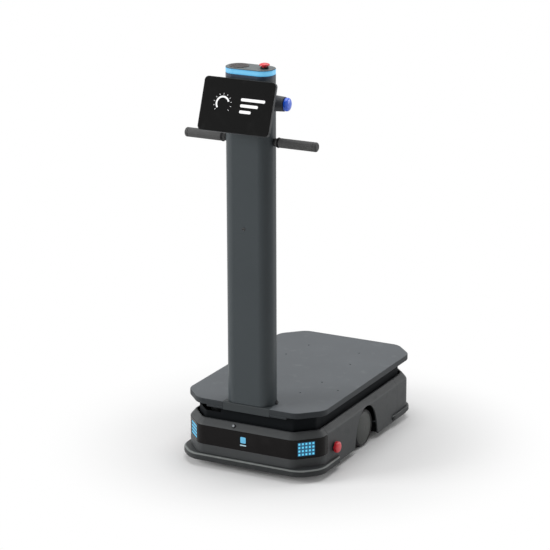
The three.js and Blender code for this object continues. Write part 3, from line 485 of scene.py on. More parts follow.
for side_word, side in sides:
    axle_end, outer = reach_of(f"drive_hub_{side_word}")
    tyre_inner, tyre_outer = reach_of(f"drive_tyre_{side_word}")
    centre = (0, middle_of(f"drive_tyre_{side_word}").y, wheel_radius)
    body = f"drive_wheel_{side_word}"
    disc_profile = [(0, outer - dimple), (0.0065, outer - dimple), (0.0080, outer - 0.0002)]
    disc_profile += [(0.0200, outer - dimple)]
    disc_profile += [(hub_radius * wide, outer - hub_dome * fall) for wide, fall in dome_shares]
    disc_profile += [(radius, tyre_inner + depth) for radius, depth in hub_back]
    disc_profile += [(axle_radius, tyre_inner + 0.002), (axle_radius, axle_end), (0, axle_end)]
    profile = to_side(eased(disc_profile, 0.0015, 3), side)
    hub = turned(f"wheel_disc_{side_word}", profile, "X", centre, steps=96)
    dress(hub, wheel_plastic, body, "hub", f"drive_hub_{side_word}")
    tyre_profile = [
        (hub_radius + fit_gap, tyre_inner),
        (wheel_radius - 0.004, tyre_inner),
        (wheel_radius - tread, tyre_inner + 0.004),
        (wheel_radius - tread, tyre_outer - 0.007),
        (wheel_radius - 0.004, tyre_outer - 0.0018),
        (wheel_radius - 0.0055, tyre_outer - 0.0004),
        (hub_radius + fit_gap, tyre_outer - 0.0004),
    ]
    profile = to_side(eased(tyre_profile, 0.0016, 3, True), side)
    tyre = turned(f"tyre_{side_word}", profile, "X", centre, closed=True, steps=96)
    dress(tyre, tyre_rubber, body, "tyre", f"drive_tyre_{side_word}")
    rib_middle = side * (tyre_inner + tyre_outer - 0.003) / 2
    tread_ribs = ribs.grow(
        f"tyre_ribs_{side_word}",
        Count=rib_count,
        Radius=wheel_radius - tread / 2 - 0.0001,
        Length=tyre_outer - tyre_inner - 0.013,
        Width=rib_width,
        Height=tread,
        Centre=Vector((rib_middle, centre[1], centre[2])),
        Finish=tyre_rubber,
    )
    dress(tread_ribs, tyre_rubber, body, "tyre")

# Casters: four that swivel, each a pressed and zinc-plated steel fork whose stem is held by a nut
# above the chassis, and a rubber wheel on a steel axle. They turn freely.

zinc = Finish("zinc_plate")
zinc_plate = zinc.done(
    Base_Color=zinc.mix(zinc.noise(40, 4.0), shade(142, 146, 150), shade(172, 176, 178)),
    Metallic=0.9,
    Roughness=0.32 + zinc.part(zinc.cells(260.0, "Color"), "X") * 0.14,
    Normal=zinc.bump(zinc.noise(500, 2.0), 0.00003),
)
caster_radius, caster_bore = 0.025, 0.0043
for where in ("front_left", "front_right", "rear_left", "rear_right"):
    fork = from_cad(f"caster_fork_{where}", f"swivel_fork_{where}", 0.0004)
    dress(fork, zinc_plate, f"caster_{where}", "steel", f"caster_fork_{where}")
    low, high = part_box(f"caster_wheel_{where}")
    middle, half = (low + high) / 2, (high.x - low.x) / 2
    half_wheel = [
        (caster_bore, -half + 0.0008),
        (0.0085, -half),
        (0.0100, -half + 0.0022),
        (0.0170, -half + 0.0022),
        (0.0185, -half),
        (caster_radius - 0.003, -half),
        (caster_radius, -half + 0.0045),
    ]
    points = eased(half_wheel + to_side(reversed(half_wheel), -1), 0.0016, 3, True)
    roller = turned(f"swivel_wheel_{where}", points, "X", middle, True, 56)
    dress(roller, tyre_rubber, f"roller_{where}", "tyre", f"caster_wheel_{where}")

# Battery, computer and charging contacts: a sealed pack in a navy plastic case on the chassis
# floor, a finned black aluminium computer behind it, and two copper strips on the rear cover that
# meet the charging dock.

battery_case = powder_coat("battery_case_plastic", shade(36, 50, 66), shade(26, 38, 52), 0.55)
battery = from_cad("battery_pack", "battery_block", 0.0012)
dress(battery, battery_case, "chassis", "battery", "battery_pack")
anodised = powder_coat("black_anodised", shade(40, 42, 45), shade(28, 30, 33), 0.4)
computer = from_cad("control_computer", "finned_computer", 0.0005)
dress(computer, anodised, "chassis", "frame", "control_computer")
contact = Finish("contact_copper")
wiped = contact.noise(260, 4.0)
tarnish = contact.ramp(contact.noise(55, 5.0), 0.45, 0.75)
contact_copper = contact.done(
    Base_Color=contact.mix(tarnish, shade(196, 132, 84), shade(140, 92, 62)),
    Metallic=0.95,
    Roughness=0.24 + wiped * 0.2,
    Normal=contact.bump(wiped, 0.00002),
)
contact_holder = powder_coat("contact_holder_plastic", shade(34, 35, 36), shade(26, 27, 28), 0.5)
contacts = from_cad("charge_contacts", "dock_contacts", 0.0004)
dress(contacts, contact_copper, "chassis", "contact_brass", "charge_contacts")
strip_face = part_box("charge_contacts")[1].y - 0.0006
two_tone(contacts, contact_holder, lambda middle: middle.y < strip_face)

# Covers of the base: four injection-moulded shells of dark grey plastic with a fine spark-eroded
# grain, front, rear and one on each side. They clip onto the chassis with a hairline seam, and the
# side ones arch over the drive wheels.


def outline(half_x, front, rear, corner, flat=0.0):
    """A rectangle with soft corners seen from above, measured from the middle of the base. A corner
    takes up its own length of each side, and a flat across it leaves a bend at each end."""
    return (half_x, front + base_y, rear + base_y, corner, flat)


def inset(size, by):
    half_x, front, rear, corner, flat = size
    return (half_x - by, front + by, rear - by, corner - by, flat)


def stack(size, *rows):
    """Sections to loft through: each row says how far it is set in from a size, and its height."""
    return [(*inset(size, by), height) for by, height in rows]


least_bend = 0.002


def ring_of(section, steps):
    half_x, front, rear, corner, flat, height = section
    bend = max(corner - flat, least_bend)
    reach = corner + (bend + flat - corner) * math.tan(math.pi / 8)
    near, far = half_x - bend, half_x - reach
    if flat:
        middles = [(near, rear - reach), (far, rear - bend), (-far, rear - bend)]
        middles += [(-near, rear - reach), (-near, front + reach), (-far, front + bend)]
        middles += [(far, front + bend), (near, front + reach)]
    else:
        middles = [(near, rear - bend), (-near, rear - bend), (-near, front + bend)]
        middles.append((near, front + bend))
    count = steps * 4 // len(middles)
    for turn, (x, y) in enumerate(middles):
        for step in range(count + 1):
            angle = (turn + step / count) * 2 * math.pi / len(middles)
            yield (x + bend * math.cos(angle), y + bend * math.sin(angle), height)


def lofted(name, sections, closed=False, steps=20):
    """A skin through rounded rectangles, each a size and a height. Closed, it is a hollow wall."""
    shape = bmesh.new()
    rings = [[shape.verts.new(point) for point in ring_of(row, steps)] for row in sections]
    pairs = list(zip(rings, rings[1:]))
    if closed:
        pairs.append((rings[-1], rings[0]))
    for low, high in pairs:
        for here in range(len(low)):
            after = (here + 1) % len(low)
            shape.faces.new((low[here], low[after], high[after], high[here]))
    if not closed:
        shape.faces.new(rings[0])
        shape.faces.new(rings[-1])
    return linked(name, shape)


def parted(name, whole, *planes):
    """The part of a piece that lies behind each plane, given as a point and a normal."""
    shape = bmesh.new()
    shape.from_mesh(whole.data)
    for point, normal in planes:
        bmesh.ops.bisect_plane(
            shape,
            geom=shape.verts[:] + shape.edges[:] + shape.faces[:],
            plane_co=point,
            plane_no=normal,
            clear_outer=True,
        )
        bmesh.ops.holes_fill(shape, edges=[edge for edge in shape.edges if edge.is_boundary])
    return linked(name, shape)


def prism(name, points, axis, low, high):
    """An outline drawn across an axis and pulled along it."""
    put = {"X": lambda a, b, s: (s, a, b), "Y": lambda a, b, s: (a, s, b), "Z": lambda *p: p}[axis]
    shape = bmesh.new()
    ends = [[shape.verts.new(put(a, b, station)) for a, b in points] for station in (low, high)]
    for here in range(len(points)):
        after = (here + 1) % len(points)
        shape.faces.new((ends[0][here], ends[0][after], ends[1][after], ends[1][here]))
    shape.faces.new(ends[0])
    shape.faces.new(ends[1])
    return linked(name, shape)


def rectangle(left, low, right, high):
    return [(left, low), (right, low), (right, high), (left, high)]


def bore(name, radius, low, high, axis, centre, steps=64):
    """A round tool that cuts a hole."""
    profile = [(0, low), (radius, low), (radius, high), (0, high)]
    return turned(name, profile, axis, centre, steps=steps)


def combined(piece, operation, *tools):
    """Cuts a piece with tools, joins them to it, or keeps what they share. It uses the tools up."""
    for tool in tools:
        step = piece.modifiers.new("tool", "BOOLEAN")
        step.operation = operation
        step.solver = "EXACT"
        step.object = tool
    settled(piece)
    for tool in tools:
        bpy.data.objects.remove(tool)
    return piece


def moulded(name, pale, deep, roughness, shine=0.25):
    """Grained plastic: faint flow marks in the colour, scuffed spots that shine a little less."""
    plastic = Finish(name)
    cloud = plastic.noise(5, 4.0)
    speck = plastic.noise(420, 3.0)
    scuff = plastic.ramp(plastic.noise(30, 6.0), 0.55, 0.8)
    return plastic.done(
        Base_Color=plastic.mix(cloud * 0.75 + speck * 0.25, deep, pale),
        Roughness=roughness + scuff * 0.12 + (speck - 0.5) * 0.1,
        Specular_IOR_Level=shine,
        Normal=plastic.bump(plastic.noise(1100, 2.0), 0.00012),
    )


def gathered(name, *parts):
    """Separate closed parts that are fixed together, as one piece."""
    shape = bmesh.new()
    for part in parts:
        shape.from_mesh(part.data)
        bpy.data.objects.remove(part)
    return linked(name, shape)


def eased_each(path, reaches, steps=5):
    """A closed path with a rounding of its own at each corner."""
    made = []
    for index, reach in enumerate(reaches):
        three = [path[index - 1], path[index], path[(index + 1) % len(path)]]
        made += eased(three, reach, steps)[1:-1]
    return made


base_y = (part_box("front_cover")[0].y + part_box("rear_cover")[1].y) / 2
wall_half_width, wall_half_length = 0.246, 0.3985
wall_corner, wall_flat = 0.092, 0.044
wall = outline(wall_half_width, -wall_half_length, wall_half_length, wall_corner, wall_flat)
cover_bottom, wall_top, shoulder_top = 0.018, 0.1408, 0.1614
shoulder_inset, cover_thickness = 0.017, 0.005
half_seam = 0.0003
front_seam, rear_seam = base_y - 0.292, base_y + 0.240
cover_path = stack(
    wall,
    (0, cover_bottom),
    (0, wall_top),
    (shoulder_inset, shoulder_top),
    (shoulder_inset + cover_thickness, shoulder_top),
    (shoulder_inset + cover_thickness, shoulder_top - 0.003),
    (cover_thickness, wall_top - 0.002),
    (cover_thickness, cover_bottom),
)
cover_ease = [0.0012, 0.0060, 0.0018, 0.0012, 0.001, 0.003, 0.001]
shell_plastic = moulded("shell_plastic", shade(70, 72, 73), shade(62, 64, 65), 0.5, 0.2)
skin = lofted("cover_skin", eased_each(cover_path, cover_ease), closed=True, steps=24)

# The band that the display panel fills, with rounded ends at the side seams.
panel_bottom, panel_top, panel_depth = 0.075, 0.140, 0.0025
panel_gap, panel_end_gap, panel_end_round = 0.0003, 0.0012, 0.009


def panel_band(name, room, proud):
    low, high = panel_bottom + panel_gap - room, panel_top - panel_gap + room
    depth = panel_depth + room
    ring = stack(wall, (-proud, low), (-proud, high), (depth, high), (depth, low))
    band = lofted(name, eased(ring, 0.0005, 2, True), closed=True, steps=24)
    corners = rectangle(-1, low, front_seam - half_seam - panel_end_gap + room, high)
    window = prism("band_end", eased(corners, panel_end_round, 6, True), "X", -1, 1)
    return combined(band, "INTERSECT", window)


origin = (0, 0, 0)
power_x, power_along = -0.045, 0.4
slope_ease = 0.003
slope_run, slope_rise = shoulder_inset - slope_ease, 0.0204 - slope_ease
power_y = base_y - wall_half_length + slope_ease + slope_run * power_along
power_z = 0.141 + slope_ease + slope_rise * power_along
slope = Matrix.Rotation(math.atan2(slope_rise, slope_run), 4, "X")
onto_shoulder = Matrix.Translation((power_x, power_y, power_z)) @ slope
power_hole = bore("power_hole", 0.0058, -0.02, 0.02, "Z", origin)
power_hole.data.transform(onto_shoulder)
front_shell = parted("front_shell", skin, ((0, front_seam - half_seam, 0), (0, 1, 0)))
combined(front_shell, "DIFFERENCE", power_hole, panel_band("panel_recess", panel_gap, 0.001))
dress(bevelled(front_shell, 0.0005), shell_plastic, "chassis", "shell", "front_cover")
rear_shell = parted("rear_shell", skin, ((0, rear_seam + half_seam, 0), (0, -1, 0)))
dress(bevelled(rear_shell, 0.0007), shell_plastic, "chassis", "shell", "rear_cover")

arch_half = [(0.091, 0.005), (0.080, 0.060), (0.068, 0.099), (0.048, 0.125), (0.022, 0.142)]
arch_points = [(base_y + y, z) for y, z in arch_half + [(-y, z) for y, z in reversed(arch_half)]]
stop_y, stop_z, stop_hole_radius = base_y - 0.243, 0.082, 0.0113
arch_start, arch_end, stop_hole_end = 0.12, 0.26, 0.3
for side_word, side in sides:
    side_shell = parted(
        f"side_shell_{side_word}",
        skin,
        ((0, front_seam + half_seam, 0), (0, -1, 0)),
        ((0, rear_seam - half_seam, 0), (0, 1, 0)),
        (origin, (-side, 0, 0)),
    )
    span = sorted((side * arch_start, side * arch_end))
    arch = prism("arch_tool", eased(arch_points, 0.017, 6, True), "X", *span)
    hole_ends = (side * arch_start, side * stop_hole_end)
    stop_hole = bore("stop_hole", stop_hole_radius, *hole_ends, "X", (0, stop_y, stop_z))
    combined(side_shell, "DIFFERENCE", arch, stop_hole)
    bevelled(side_shell, 0.0007)
    dress(side_shell, shell_plastic, "chassis", "shell", f"{side_word}_cover")
bpy.data.objects.remove(skin)

# Flaps of black plastic before and behind each drive wheel, under the chassis floor: dark sheets
# that stand for the shade seen through the wheel arches.
flap_top, flap_low, flap_thick = 0.0617, 0.0125, 0.002
flap_inner, flap_outer = 0.198, 0.2395
flap_points = [
    (0.084, flap_top),
    (0.1005, flap_top),
    (0.1115, flap_low),
    (0.1095, flap_low),
    (0.0987, flap_top - flap_thick),
    (0.084, flap_top - flap_thick),
]
# Near-black flaps: a dark sheet put where there is only shade inside the arch.
shade_flap_plastic = moulded("shade_flap_black_plastic", shade(24, 25, 26), shade(18, 19, 20), 0.6, 0.1)
for side_word, side in sides:
    span = sorted((side * flap_inner, side * flap_outer))
    flaps = []
    for end in (1, -1):
        points = [(base_y + end * y, z) for y, z in flap_points]
        flaps.append(bevelled(prism("flap", points, "X", *span), 0.0004, 2, 50))
    shade_flaps = smooth(gathered(f"wheel_guards_{side_word}", *flaps))
    dress(shade_flaps, shade_flap_plastic, "chassis", "black_plastic")

# Display panel and lamp matrices: a strip of smoked acrylic let into the front cover, glossy and
# nearly black. In each of its two corners sits a lamp matrix, rows of square blue lenses on a lit
# blue board.

smoked = Finish("smoked_acrylic")
smear = smoked.ramp(smoked.noise(26, 6.0), 0.45, 0.8)
smoked_acrylic = smoked.done(
    Base_Color=smoked.mix(smear * 0.5, shade(22, 20, 20), shade(32, 30, 30)),
    Roughness=0.09 + smear * 0.12,
    Specular_IOR_Level=0.1,
    Normal=smoked.bump(smoked.noise(16, 2.0), 0.00003),
)
lamp_columns, lamp_rows = 5, 4
lamp_pitch, lamp_size, matrix_margin = 0.0118, 0.0068, 0.0056
matrix_half_width = (lamp_columns - 1) * lamp_pitch / 2 + matrix_margin
matrix_half_height = (lamp_rows - 1) * lamp_pitch / 2 + matrix_margin
matrix_z = (panel_bottom + panel_top) / 2
matrix_offset = 0.005
flat_start = wall_corner - (wall_corner - wall_flat) * math.tan(math.pi / 8)


def block(name, low, high):
    return prism(name, rectangle(low[0], low[1], high[0], high[1]), "Z", low[2], high[2])


def on_flat(piece, side):
    """Puts a piece, made facing the front, on the flat across a front corner."""
    half = flat_start / 2
    middle = Vector((wall_half_width - half, base_y - wall_half_length + half, matrix_z))
    turn = Matrix.Rotation(math.radians(45), 4, "Z") @ Matrix.Translation((-matrix_offset, 0, 0))
    piece.data.transform(Matrix.Diagonal((side, 1, 1, 1)) @ Matrix.Translation(middle) @ turn)
    if side < 0:
        piece.data.flip_normals()
    return piece


def matrix_block(name, side, front, back, room):
    across, up = matrix_half_width + room, matrix_half_height + room
    return on_flat(block(name, (-across, front, -up), (across, back, up)), side)


panel = panel_band("smoked_panel", 0.0, 0.0)
windows = [matrix_block("matrix_window", side, -0.01, 0.01, panel_gap) for side in (1, -1)]
combined(panel, "DIFFERENCE", *windows)
dress(smooth(panel), smoked_acrylic, "chassis", "gloss_black", "display_panel")

matrix_lamps = Pattern(
    "lenses_on_a_board",
    Columns=int,
    Rows=int,
    Pitch=float,
    Face=float,
    Lens=bpy.types.Object,
)
grid = matrix_lamps.geometry(
    "MeshGrid",
    Size_X=(matrix_lamps["Columns"] - 1) * matrix_lamps["Pitch"],
    Size_Y=(matrix_lamps["Rows"] - 1) * matrix_lamps["Pitch"],
    Vertices_X=matrix_lamps["Columns"],
    Vertices_Y=matrix_lamps["Rows"],
)
grid_place = matrix_lamps.geometry("InputPosition")
lenses = matrix_lamps.geometry(
    "InstanceOnPoints", Points=grid, Instance=matrix_lamps.shape_of("Lens")
)
upright = matrix_lamps.point(
    matrix_lamps.part(grid_place, "X"), matrix_lamps["Face"], matrix_lamps.part(grid_place, "Y")
)
matrix_lamps.close(matrix_lamps.geometry("SetPosition", Geometry=lenses, Position=upright))

board = Finish("lit_blue_board")
board_glow = board.noise(90, 3.0)
lit_board = board.done(
    Base_Color=shade(4, 12, 20),
    Roughness=0.35 + board_glow * 0.1,
    Emission_Color=board.mix(board_glow, shade(6, 62, 92), shade(12, 88, 122)),
    Emission_Strength=1.0,
)
lens_glass = Finish("blue_lens")
core = lens_glass.node("ShaderNodeAttribute", {"attribute_name": "core"}, output="Fac")
lit_lens = lens_glass.done(
    Base_Color=shade(10, 30, 44),
    Roughness=0.2 + lens_glass.noise(300, 2.0) * 0.1,
    Specular_IOR_Level=0.1,
    Emission_Color=lens_glass.mix(core, shade(62, 190, 236), shade(150, 230, 255)),
    Emission_Strength=1.0,
)
lens_half, lens_round = lamp_size / 2, 0.0014
lens_square = rectangle(-lens_half, -lens_half, lens_half, lens_half)
lens_shape = bmesh.new()
loops = []
for share, rise in ((1.0, -0.0008), (1.0, -0.0001), (0.93, 0.0005), (0.5, 0.0007)):
    corners = eased([(x * share, z * share) for x, z in lens_square], lens_round * share, 3, True)
    loops.append([lens_shape.verts.new((x, -rise, z)) for x, z in corners])
for low, high in zip(loops, loops[1:]):
    for here in range(len(low)):
        after = (here + 1) % len(low)
        lens_shape.faces.new((low[here], low[after], high[after], high[here]))
lens_shape.faces.new(loops[0])
lens_shape.faces.new(loops[-1])
lens = smooth(linked("lens_blank", lens_shape), 50)

# How close each point of a lens is to its middle is kept as the attribute core, for the glow.
closeness = lens.data.attributes.new("core", "FLOAT", "POINT")
for vertex, value in zip(lens.data.vertices, closeness.data):
    value.value = max(0.0, 1 - max(abs(vertex.co.x), abs(vertex.co.z)) / lens_half)
board_face, board_thickness = 0.0010, 0.0014
for side_word, side in sides:
    plate_ends = (board_face, board_face + board_thickness)
    plate = matrix_block(f"lamp_board_{side_word}", side, *plate_ends, 0.0)
    dress(bevelled(plate, 0.0002), lit_board, "chassis", "lamp", f"light_matrix_{side_word}")
    lamps = matrix_lamps.grow(
        f"lamp_lenses_{side_word}",
        Columns=lamp_columns,
        Rows=lamp_rows,
        Pitch=lamp_pitch,
        Face=board_face,
        Lens=lens,
        Finish=lit_lens,
    )
    dress(on_flat(lamps, side), lit_lens, "chassis", "lamp")
bpy.data.objects.remove(lens)

# A plain status lamp in the middle of the panel, over a thin white charge bar.
status = Finish("status_lamp_lens")
status_glow = status.noise(120, 3.0)
lamp_blue = status.mix(status_glow, shade(84, 166, 206), shade(122, 196, 230))
bar_top, lamp_bottom = 0.098, 0.100
upper_lamp = status.ramp(status.along("Z"), bar_top, lamp_bottom)
status_lens = status.done(
    Base_Color=shade(16, 34, 44),
    Roughness=0.25 + status_glow * 0.1,
    Specular_IOR_Level=0.1,
    Emission_Color=status.mix(upper_lamp, shade(176, 204, 214), lamp_blue),
    Emission_Strength=1.0,
)
status_x = -0.007
lamp_face = base_y - wall_half_length - 0.0006
for name, half_wide, low, high, bend in (
    ("status_lamp", 0.0098, 0.1015, 0.1225, 0.0038),
    ("charge_bar", 0.0112, 0.0922, 0.0962, 0.0019),
):
    corners = eased(rectangle(status_x - half_wide, low, status_x + half_wide, high), bend, 5, True)
    lit = prism(name, corners, "Y", lamp_face, lamp_face + 0.0005)
    dress(bevelled(lit, 0.0002), status_lens, "chassis", "lamp")

# Bumpers: a strip of black rubber round each end of the base, fixed from behind, with a chamfer
# whose pale colour is a painted highlight, varied a little by wear. The rear one is extruded and
# its ends taper to the wall. The front one is moulded, fuller round the corners, and its ends are
# rounded.

strips = Pattern("strip_along_a_wall", Profile=bpy.types.Object, Taper=float)
wall_curve = strips.geometry("MeshToCurve", Mesh=strips["Geometry"])
level_curve = strips.node("GeometryNodeSetCurveNormal", {"mode": "Z_UP"}, {"Curve": wall_curve})
run = strips.node("GeometryNodeSplineParameter", output="Length")
whole_run = strips.node("GeometryNodeSplineLength", output="Length")
to_end = strips.sum("MINIMUM", run, whole_run - run)
share_in = strips.sum("MINIMUM", to_end / strips["Taper"], 1.0)
swell = (1.02 - (1 - share_in) ** 2) ** 0.5
tapered = strips.geometry(
    "SetCurveRadius", Curve=level_curve, Radius=strips.sum("MINIMUM", swell, 1.0)
)
profile_curve = strips.geometry("MeshToCurve", Mesh=strips.shape_of("Profile"))
strips.close(
    strips.geometry(
        "CurveToMesh",
        Curve=tapered,
        Profile_Curve=profile_curve,
        Scale=strips.geometry("InputRadius"),
        Fill_Caps=True,
    )
)

bumper_low, bumper_high, bumper_gap = 0.0205, 0.0452, 0.0003
ledge_low, bumper_ledge = 0.0396, 0.0434
strip = Finish("bumper_rubber")
worn = strip.ramp(strip.noise(55, 6.0), 0.5, 0.82)
below_ledge = 1 - strip.ramp(strip.along("Z"), bumper_ledge - 0.0002, bumper_ledge + 0.0004)
# Painted highlight: faces below the ledge's top edge that look up are mixed toward a pale grey,
# varied a little by the wear noise.
painted_ledge_highlight = strip.ramp(strip.facing("Z"), 0.25, 0.6) * below_ledge
rubber_tone = strip.mix(worn * 0.6, shade(44, 46, 47), shade(64, 65, 65))
bumper_rubber = strip.done(
    Base_Color=strip.mix(painted_ledge_highlight * (0.7 + worn * 0.3), rubber_tone, shade(134, 138, 136)),
    Roughness=0.5 + worn * 0.25,
    Specular_IOR_Level=0.25,
    Normal=strip.bump(strip.noise(1000, 2.0), 0.00008),
)
fuller_size = outline(0.2588, -0.4113, 0.4113, 0.090, 0.014)
low_round, ledge_depth = 0.003, 0.0042
fuller_path = stack(
    fuller_size,
    (low_round, bumper_low),
    (0, bumper_low + low_round),
    (0, ledge_low),
    (ledge_depth, bumper_ledge),
)
fuller_path += stack(wall, (-bumper_gap, bumper_high), (-bumper_gap, bumper_low))
fuller_ease = [0.0020, 0.0020, 0.0014, 0.0010, 0.0002, 0.0002]
fuller_sections = eased_each(fuller_path, fuller_ease, 3)
front_strip = lofted("rubber_strip_front", fuller_sections, closed=True, steps=32)
strip_half, strip_end, end_round = 0.2591, base_y - 0.218, 0.014
room_corners = eased(rectangle(-strip_half, -1, strip_half, strip_end), end_round, 6, True)
combined(front_strip, "INTERSECT", prism("strip_room", room_corners, "Z", 0, 0.1))
bevelled(front_strip, 0.0005, 2, 40)
dress(front_strip, bumper_rubber, "chassis", "bumper_rubber", "front_bumper")

bumper_reach = 0.008
half_height = (bumper_high - bumper_low) / 2
bumper_middle = bumper_low + half_height
bumper_face = [
    (bumper_gap, -half_height),
    (bumper_reach, -half_height),
    (bumper_reach, half_height - 0.0080),
    (bumper_reach - 0.0038, half_height - 0.0040),
    (bumper_gap, half_height),
]
bumper_profile = eased_each(bumper_face, [0.0004, 0.0050, 0.0016, 0.0008, 0.0002], 4)
end_steps = [0, 0.0003, 0.0008, 0.0016, 0.003, 0.005, 0.008, 0.012, 0.016]
strip_start, corner_start = base_y + 0.200, base_y + 0.3
straight = [(wall_half_width, strip_start + step, bumper_middle) for step in end_steps]
corners = ring_of((*wall, bumper_middle), 28)
round_end = [point for point in corners if point[1] > corner_start and point[0] >= 0]
half_path = straight + sorted(round_end, key=lambda point: point[1])
path = half_path + [(-x, y, z) for x, y, z in reversed(half_path)]
rim = wire("bumper_profile", [(x, y, 0) for x, y in bumper_profile], len(bumper_profile))
rear_strip = strips.grow(
    "rubber_strip_rear", path, path=True, Profile=rim, Taper=0.014, Finish=bumper_rubber
)
bpy.data.objects.remove(rim)
dress(rear_strip, bumper_rubber, "chassis", "bumper_rubber", "rear_bumper")

# Deck frame and slot shroud: square steel tube, welded, two rails on posts with a beam at each end.
# It carries the load deck and the scanners. A ring of thin black plastic closes the slot, with
# openings for the scanners.

deck_rails = from_cad("deck_frame", "deck_rails", 0.0012)
dress(deck_rails, frame_paint, "chassis", "frame", "deck_frame")
black_plastic = moulded("black_plastic", shade(32, 33, 34), shade(25, 26, 27), 0.55, 0.15)
# The slot's plastic is a darker copy of the black plastic: painted shade inside the slot.
slot_black_shaded = moulded("slot_black_shaded", shade(17, 20, 23), shade(12, 15, 17), 0.7, 0.08)


def heights_of(node):
    return [corner.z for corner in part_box(node)]


def tube(name, size, set_in, thick, low, high, ease, steps=24):
    """An upright tube, set in from a size. Its ends are eased by a reach and a step count."""
    inner = set_in + thick
    path = stack(size, (set_in, low), (set_in, high), (inner, high), (inner, low))
    return lofted(name, eased(path, *ease, True), closed=True, steps=steps)


shroud_inset, shroud_wall, shroud_ease = 0.014, 0.003, (0.0006, 2)
shroud_ends = heights_of("slot_shroud")
shoulder = inset(wall, shoulder_inset)
shroud = tube("slot_ring", shoulder, shroud_inset, shroud_wall, *shroud_ends, shroud_ease)
gap_low, gap_high, gap_x, gap_y = 0.182, 0.207, 0.105, 0.235
past_side, past_end, past_deck = 0.4, 0.6, 0.3
foot_top, foot_drop, foot_half, foot_room = 0.231, 0.028, 0.085, 0.0005
foot_bottom = foot_top - foot_drop
room_low = (-foot_half - foot_room, -past_end, foot_bottom - foot_room)
room_high = (foot_half + foot_room, base_y, past_deck)
rear_low, rear_high = (gap_x, base_y + gap_y, gap_low), (past_side, past_end, gap_high)
front_low = (-past_side, base_y - past_end, gap_low)
combined(
    shroud,
    "DIFFERENCE",
    block("gap_rear", rear_low, rear_high),
    block("gap_front", front_low, (-gap_x, base_y - gap_y, gap_high)),
    block("foot_room", room_low, room_high),
)
dress(smooth(shroud), slot_black_shaded, "chassis", "black_plastic", "slot_shroud")

# Scanners: two lidar scanners, at the front right and rear left corners of the slot. Each has a
# black cast base on an arm from the deck frame, a spinning rotor with its lens face, and a smoked
# window.

smoked_window = clouded(
    "smoked_window",
    (40, 5.0),
    shade(16, 16, 18),
    shade(26, 25, 28),
    (0.06, 0.08),
    (30, 2.0, 0.00002),
    (0.3, 0.3),
)
window_radius, window_wall, window_groove = 0.032, 0.002, 0.0006
window_bore = window_radius - window_wall
for end in ("front", "rear"):
    scanner_base = from_cad(f"scanner_base_{end}", f"scanner_foot_{end}", 0.0006)
    dress(scanner_base, black_plastic, "chassis", "black_plastic", f"scanner_base_{end}")
    rotor = from_cad(f"scanner_rotor_{end}", f"scanner_spinner_{end}", 0.0004)
    dress(rotor, turned_aluminium, f"rotor_{end}", "steel", f"scanner_rotor_{end}")
    low, high = heights_of(f"scanner_window_{end}")
    middle = middle_of(f"scanner_window_{end}")
    outside = [
        (window_bore, low),
        (window_radius, low),
        (window_radius, low + 0.003),
        (window_radius - window_groove, low + 0.0034),
        (window_radius - window_groove, high - 0.0060),
        (window_radius, high - 0.0056),
        (window_radius, high - 0.0024),
        (window_radius - 0.0030, high),
        (0, high),
    ]
    under_side = [
        (0, high - window_wall),
        (window_bore - 0.002, high - window_wall),
        (window_bore, high - window_wall - 0.003),
        (window_bore, low),
    ]
    points = eased(outside, 0.0008, 3) + under_side
    cover = turned(f"scanner_cover_{end}", points, "Z", (middle.x, middle.y, 0))
    dress(cover, smoked_window, "chassis", "gloss_black", f"scanner_window_{end}")

# Load deck: a moulded plate with a fine leather-like grain on top, rubbed paler by crates. Its
# rounded edge is painted darker than the top as shade, by how far each face looks up. Ten threaded
# steel inserts take a rack. A notch in its front takes the foot of the mast.

deck_size = outline(0.250, -0.391, 0.395, 0.092, 0.041)
deck_low, deck_high = heights_of("deck_plate")
edge_round = 0.0032


def deck_like(name, low):
    rows = stack(deck_size, (0.004, low), (0, low), (0, deck_high), (0.02, deck_high))
    return lofted(name, eased(rows, edge_round, 5), steps=32)


mast_size = outline(0.082, -0.387, -0.302, 0.039)
foot_tuck, foot_lip_depth, foot_seam = 0.0022, 0.027, 0.0005
plan_low, plan_high = 0.1, 0.4


def foot_plan(name, room):
    """The foot of the mast seen from above, pulled through the height of the deck."""
    rows = stack(mast_size, (foot_tuck - room, plan_low), (foot_tuck - room, plan_high))
    front = deck_size[1]
    lip_low = (-foot_half - room, front - 0.01, plan_low)
    lip_high = (foot_half + room, front + foot_lip_depth + room, plan_high)
    return combined(lofted(name, rows, steps=16), "UNION", block("foot_lip", lip_low, lip_high))


grained = Finish("deck_plastic")
leather = grained.cells(620.0, "Distance", feature="SMOOTH_F1")
deck_speck = grained.noise(260, 4.0)
mottle = grained.noise(6, 5.0) * 0.6 + deck_speck * 0.4
deck_up = grained.facing("Z")
rub = grained.ramp(grained.noise(22, 6.0), 0.56, 0.82) * grained.ramp(deck_up, 0.6, 0.95)
deck_tone = grained.mix(mottle, shade(80, 84, 87), shade(96, 100, 104))
worn_tone = grained.mix(rub * 0.25, deck_tone, shade(118, 122, 124))
# Painted shade: the colour darkens from the top toward the rounded edge by how far each face looks
# up.
deck_plastic = grained.done(
    Base_Color=grained.mix(grained.ramp(deck_up, 0.45, 0.9), shade(41, 45, 48), worn_tone),
    Roughness=0.52 + deck_speck * 0.12 - rub * 0.06,
    Specular_IOR_Level=0.25,
    Normal=grained.bump(leather, 0.00012),
)
insert_places = [(0.122, 0.128), (0.097, 0.250), (0.118, -0.078), (0.101, -0.202), (0.201, -0.128)]
insert_places = [(sign * x, base_y + y) for x, y in insert_places for sign in (1, -1)]
insert_radius, insert_depth = 0.0032, 0.012
holes = [
    bore("insert_hole", insert_radius, deck_high - insert_depth, past_deck, "Z", (x, y, 0), 24)
    for x, y in insert_places
]
deck = deck_like("load_deck", deck_low)
combined(deck, "DIFFERENCE", foot_plan("foot_notch", foot_seam), *holes)
bevelled(deck, 0.0005, 2, 40)
dress(deck, deck_plastic, "chassis", "deck", "deck_plate")

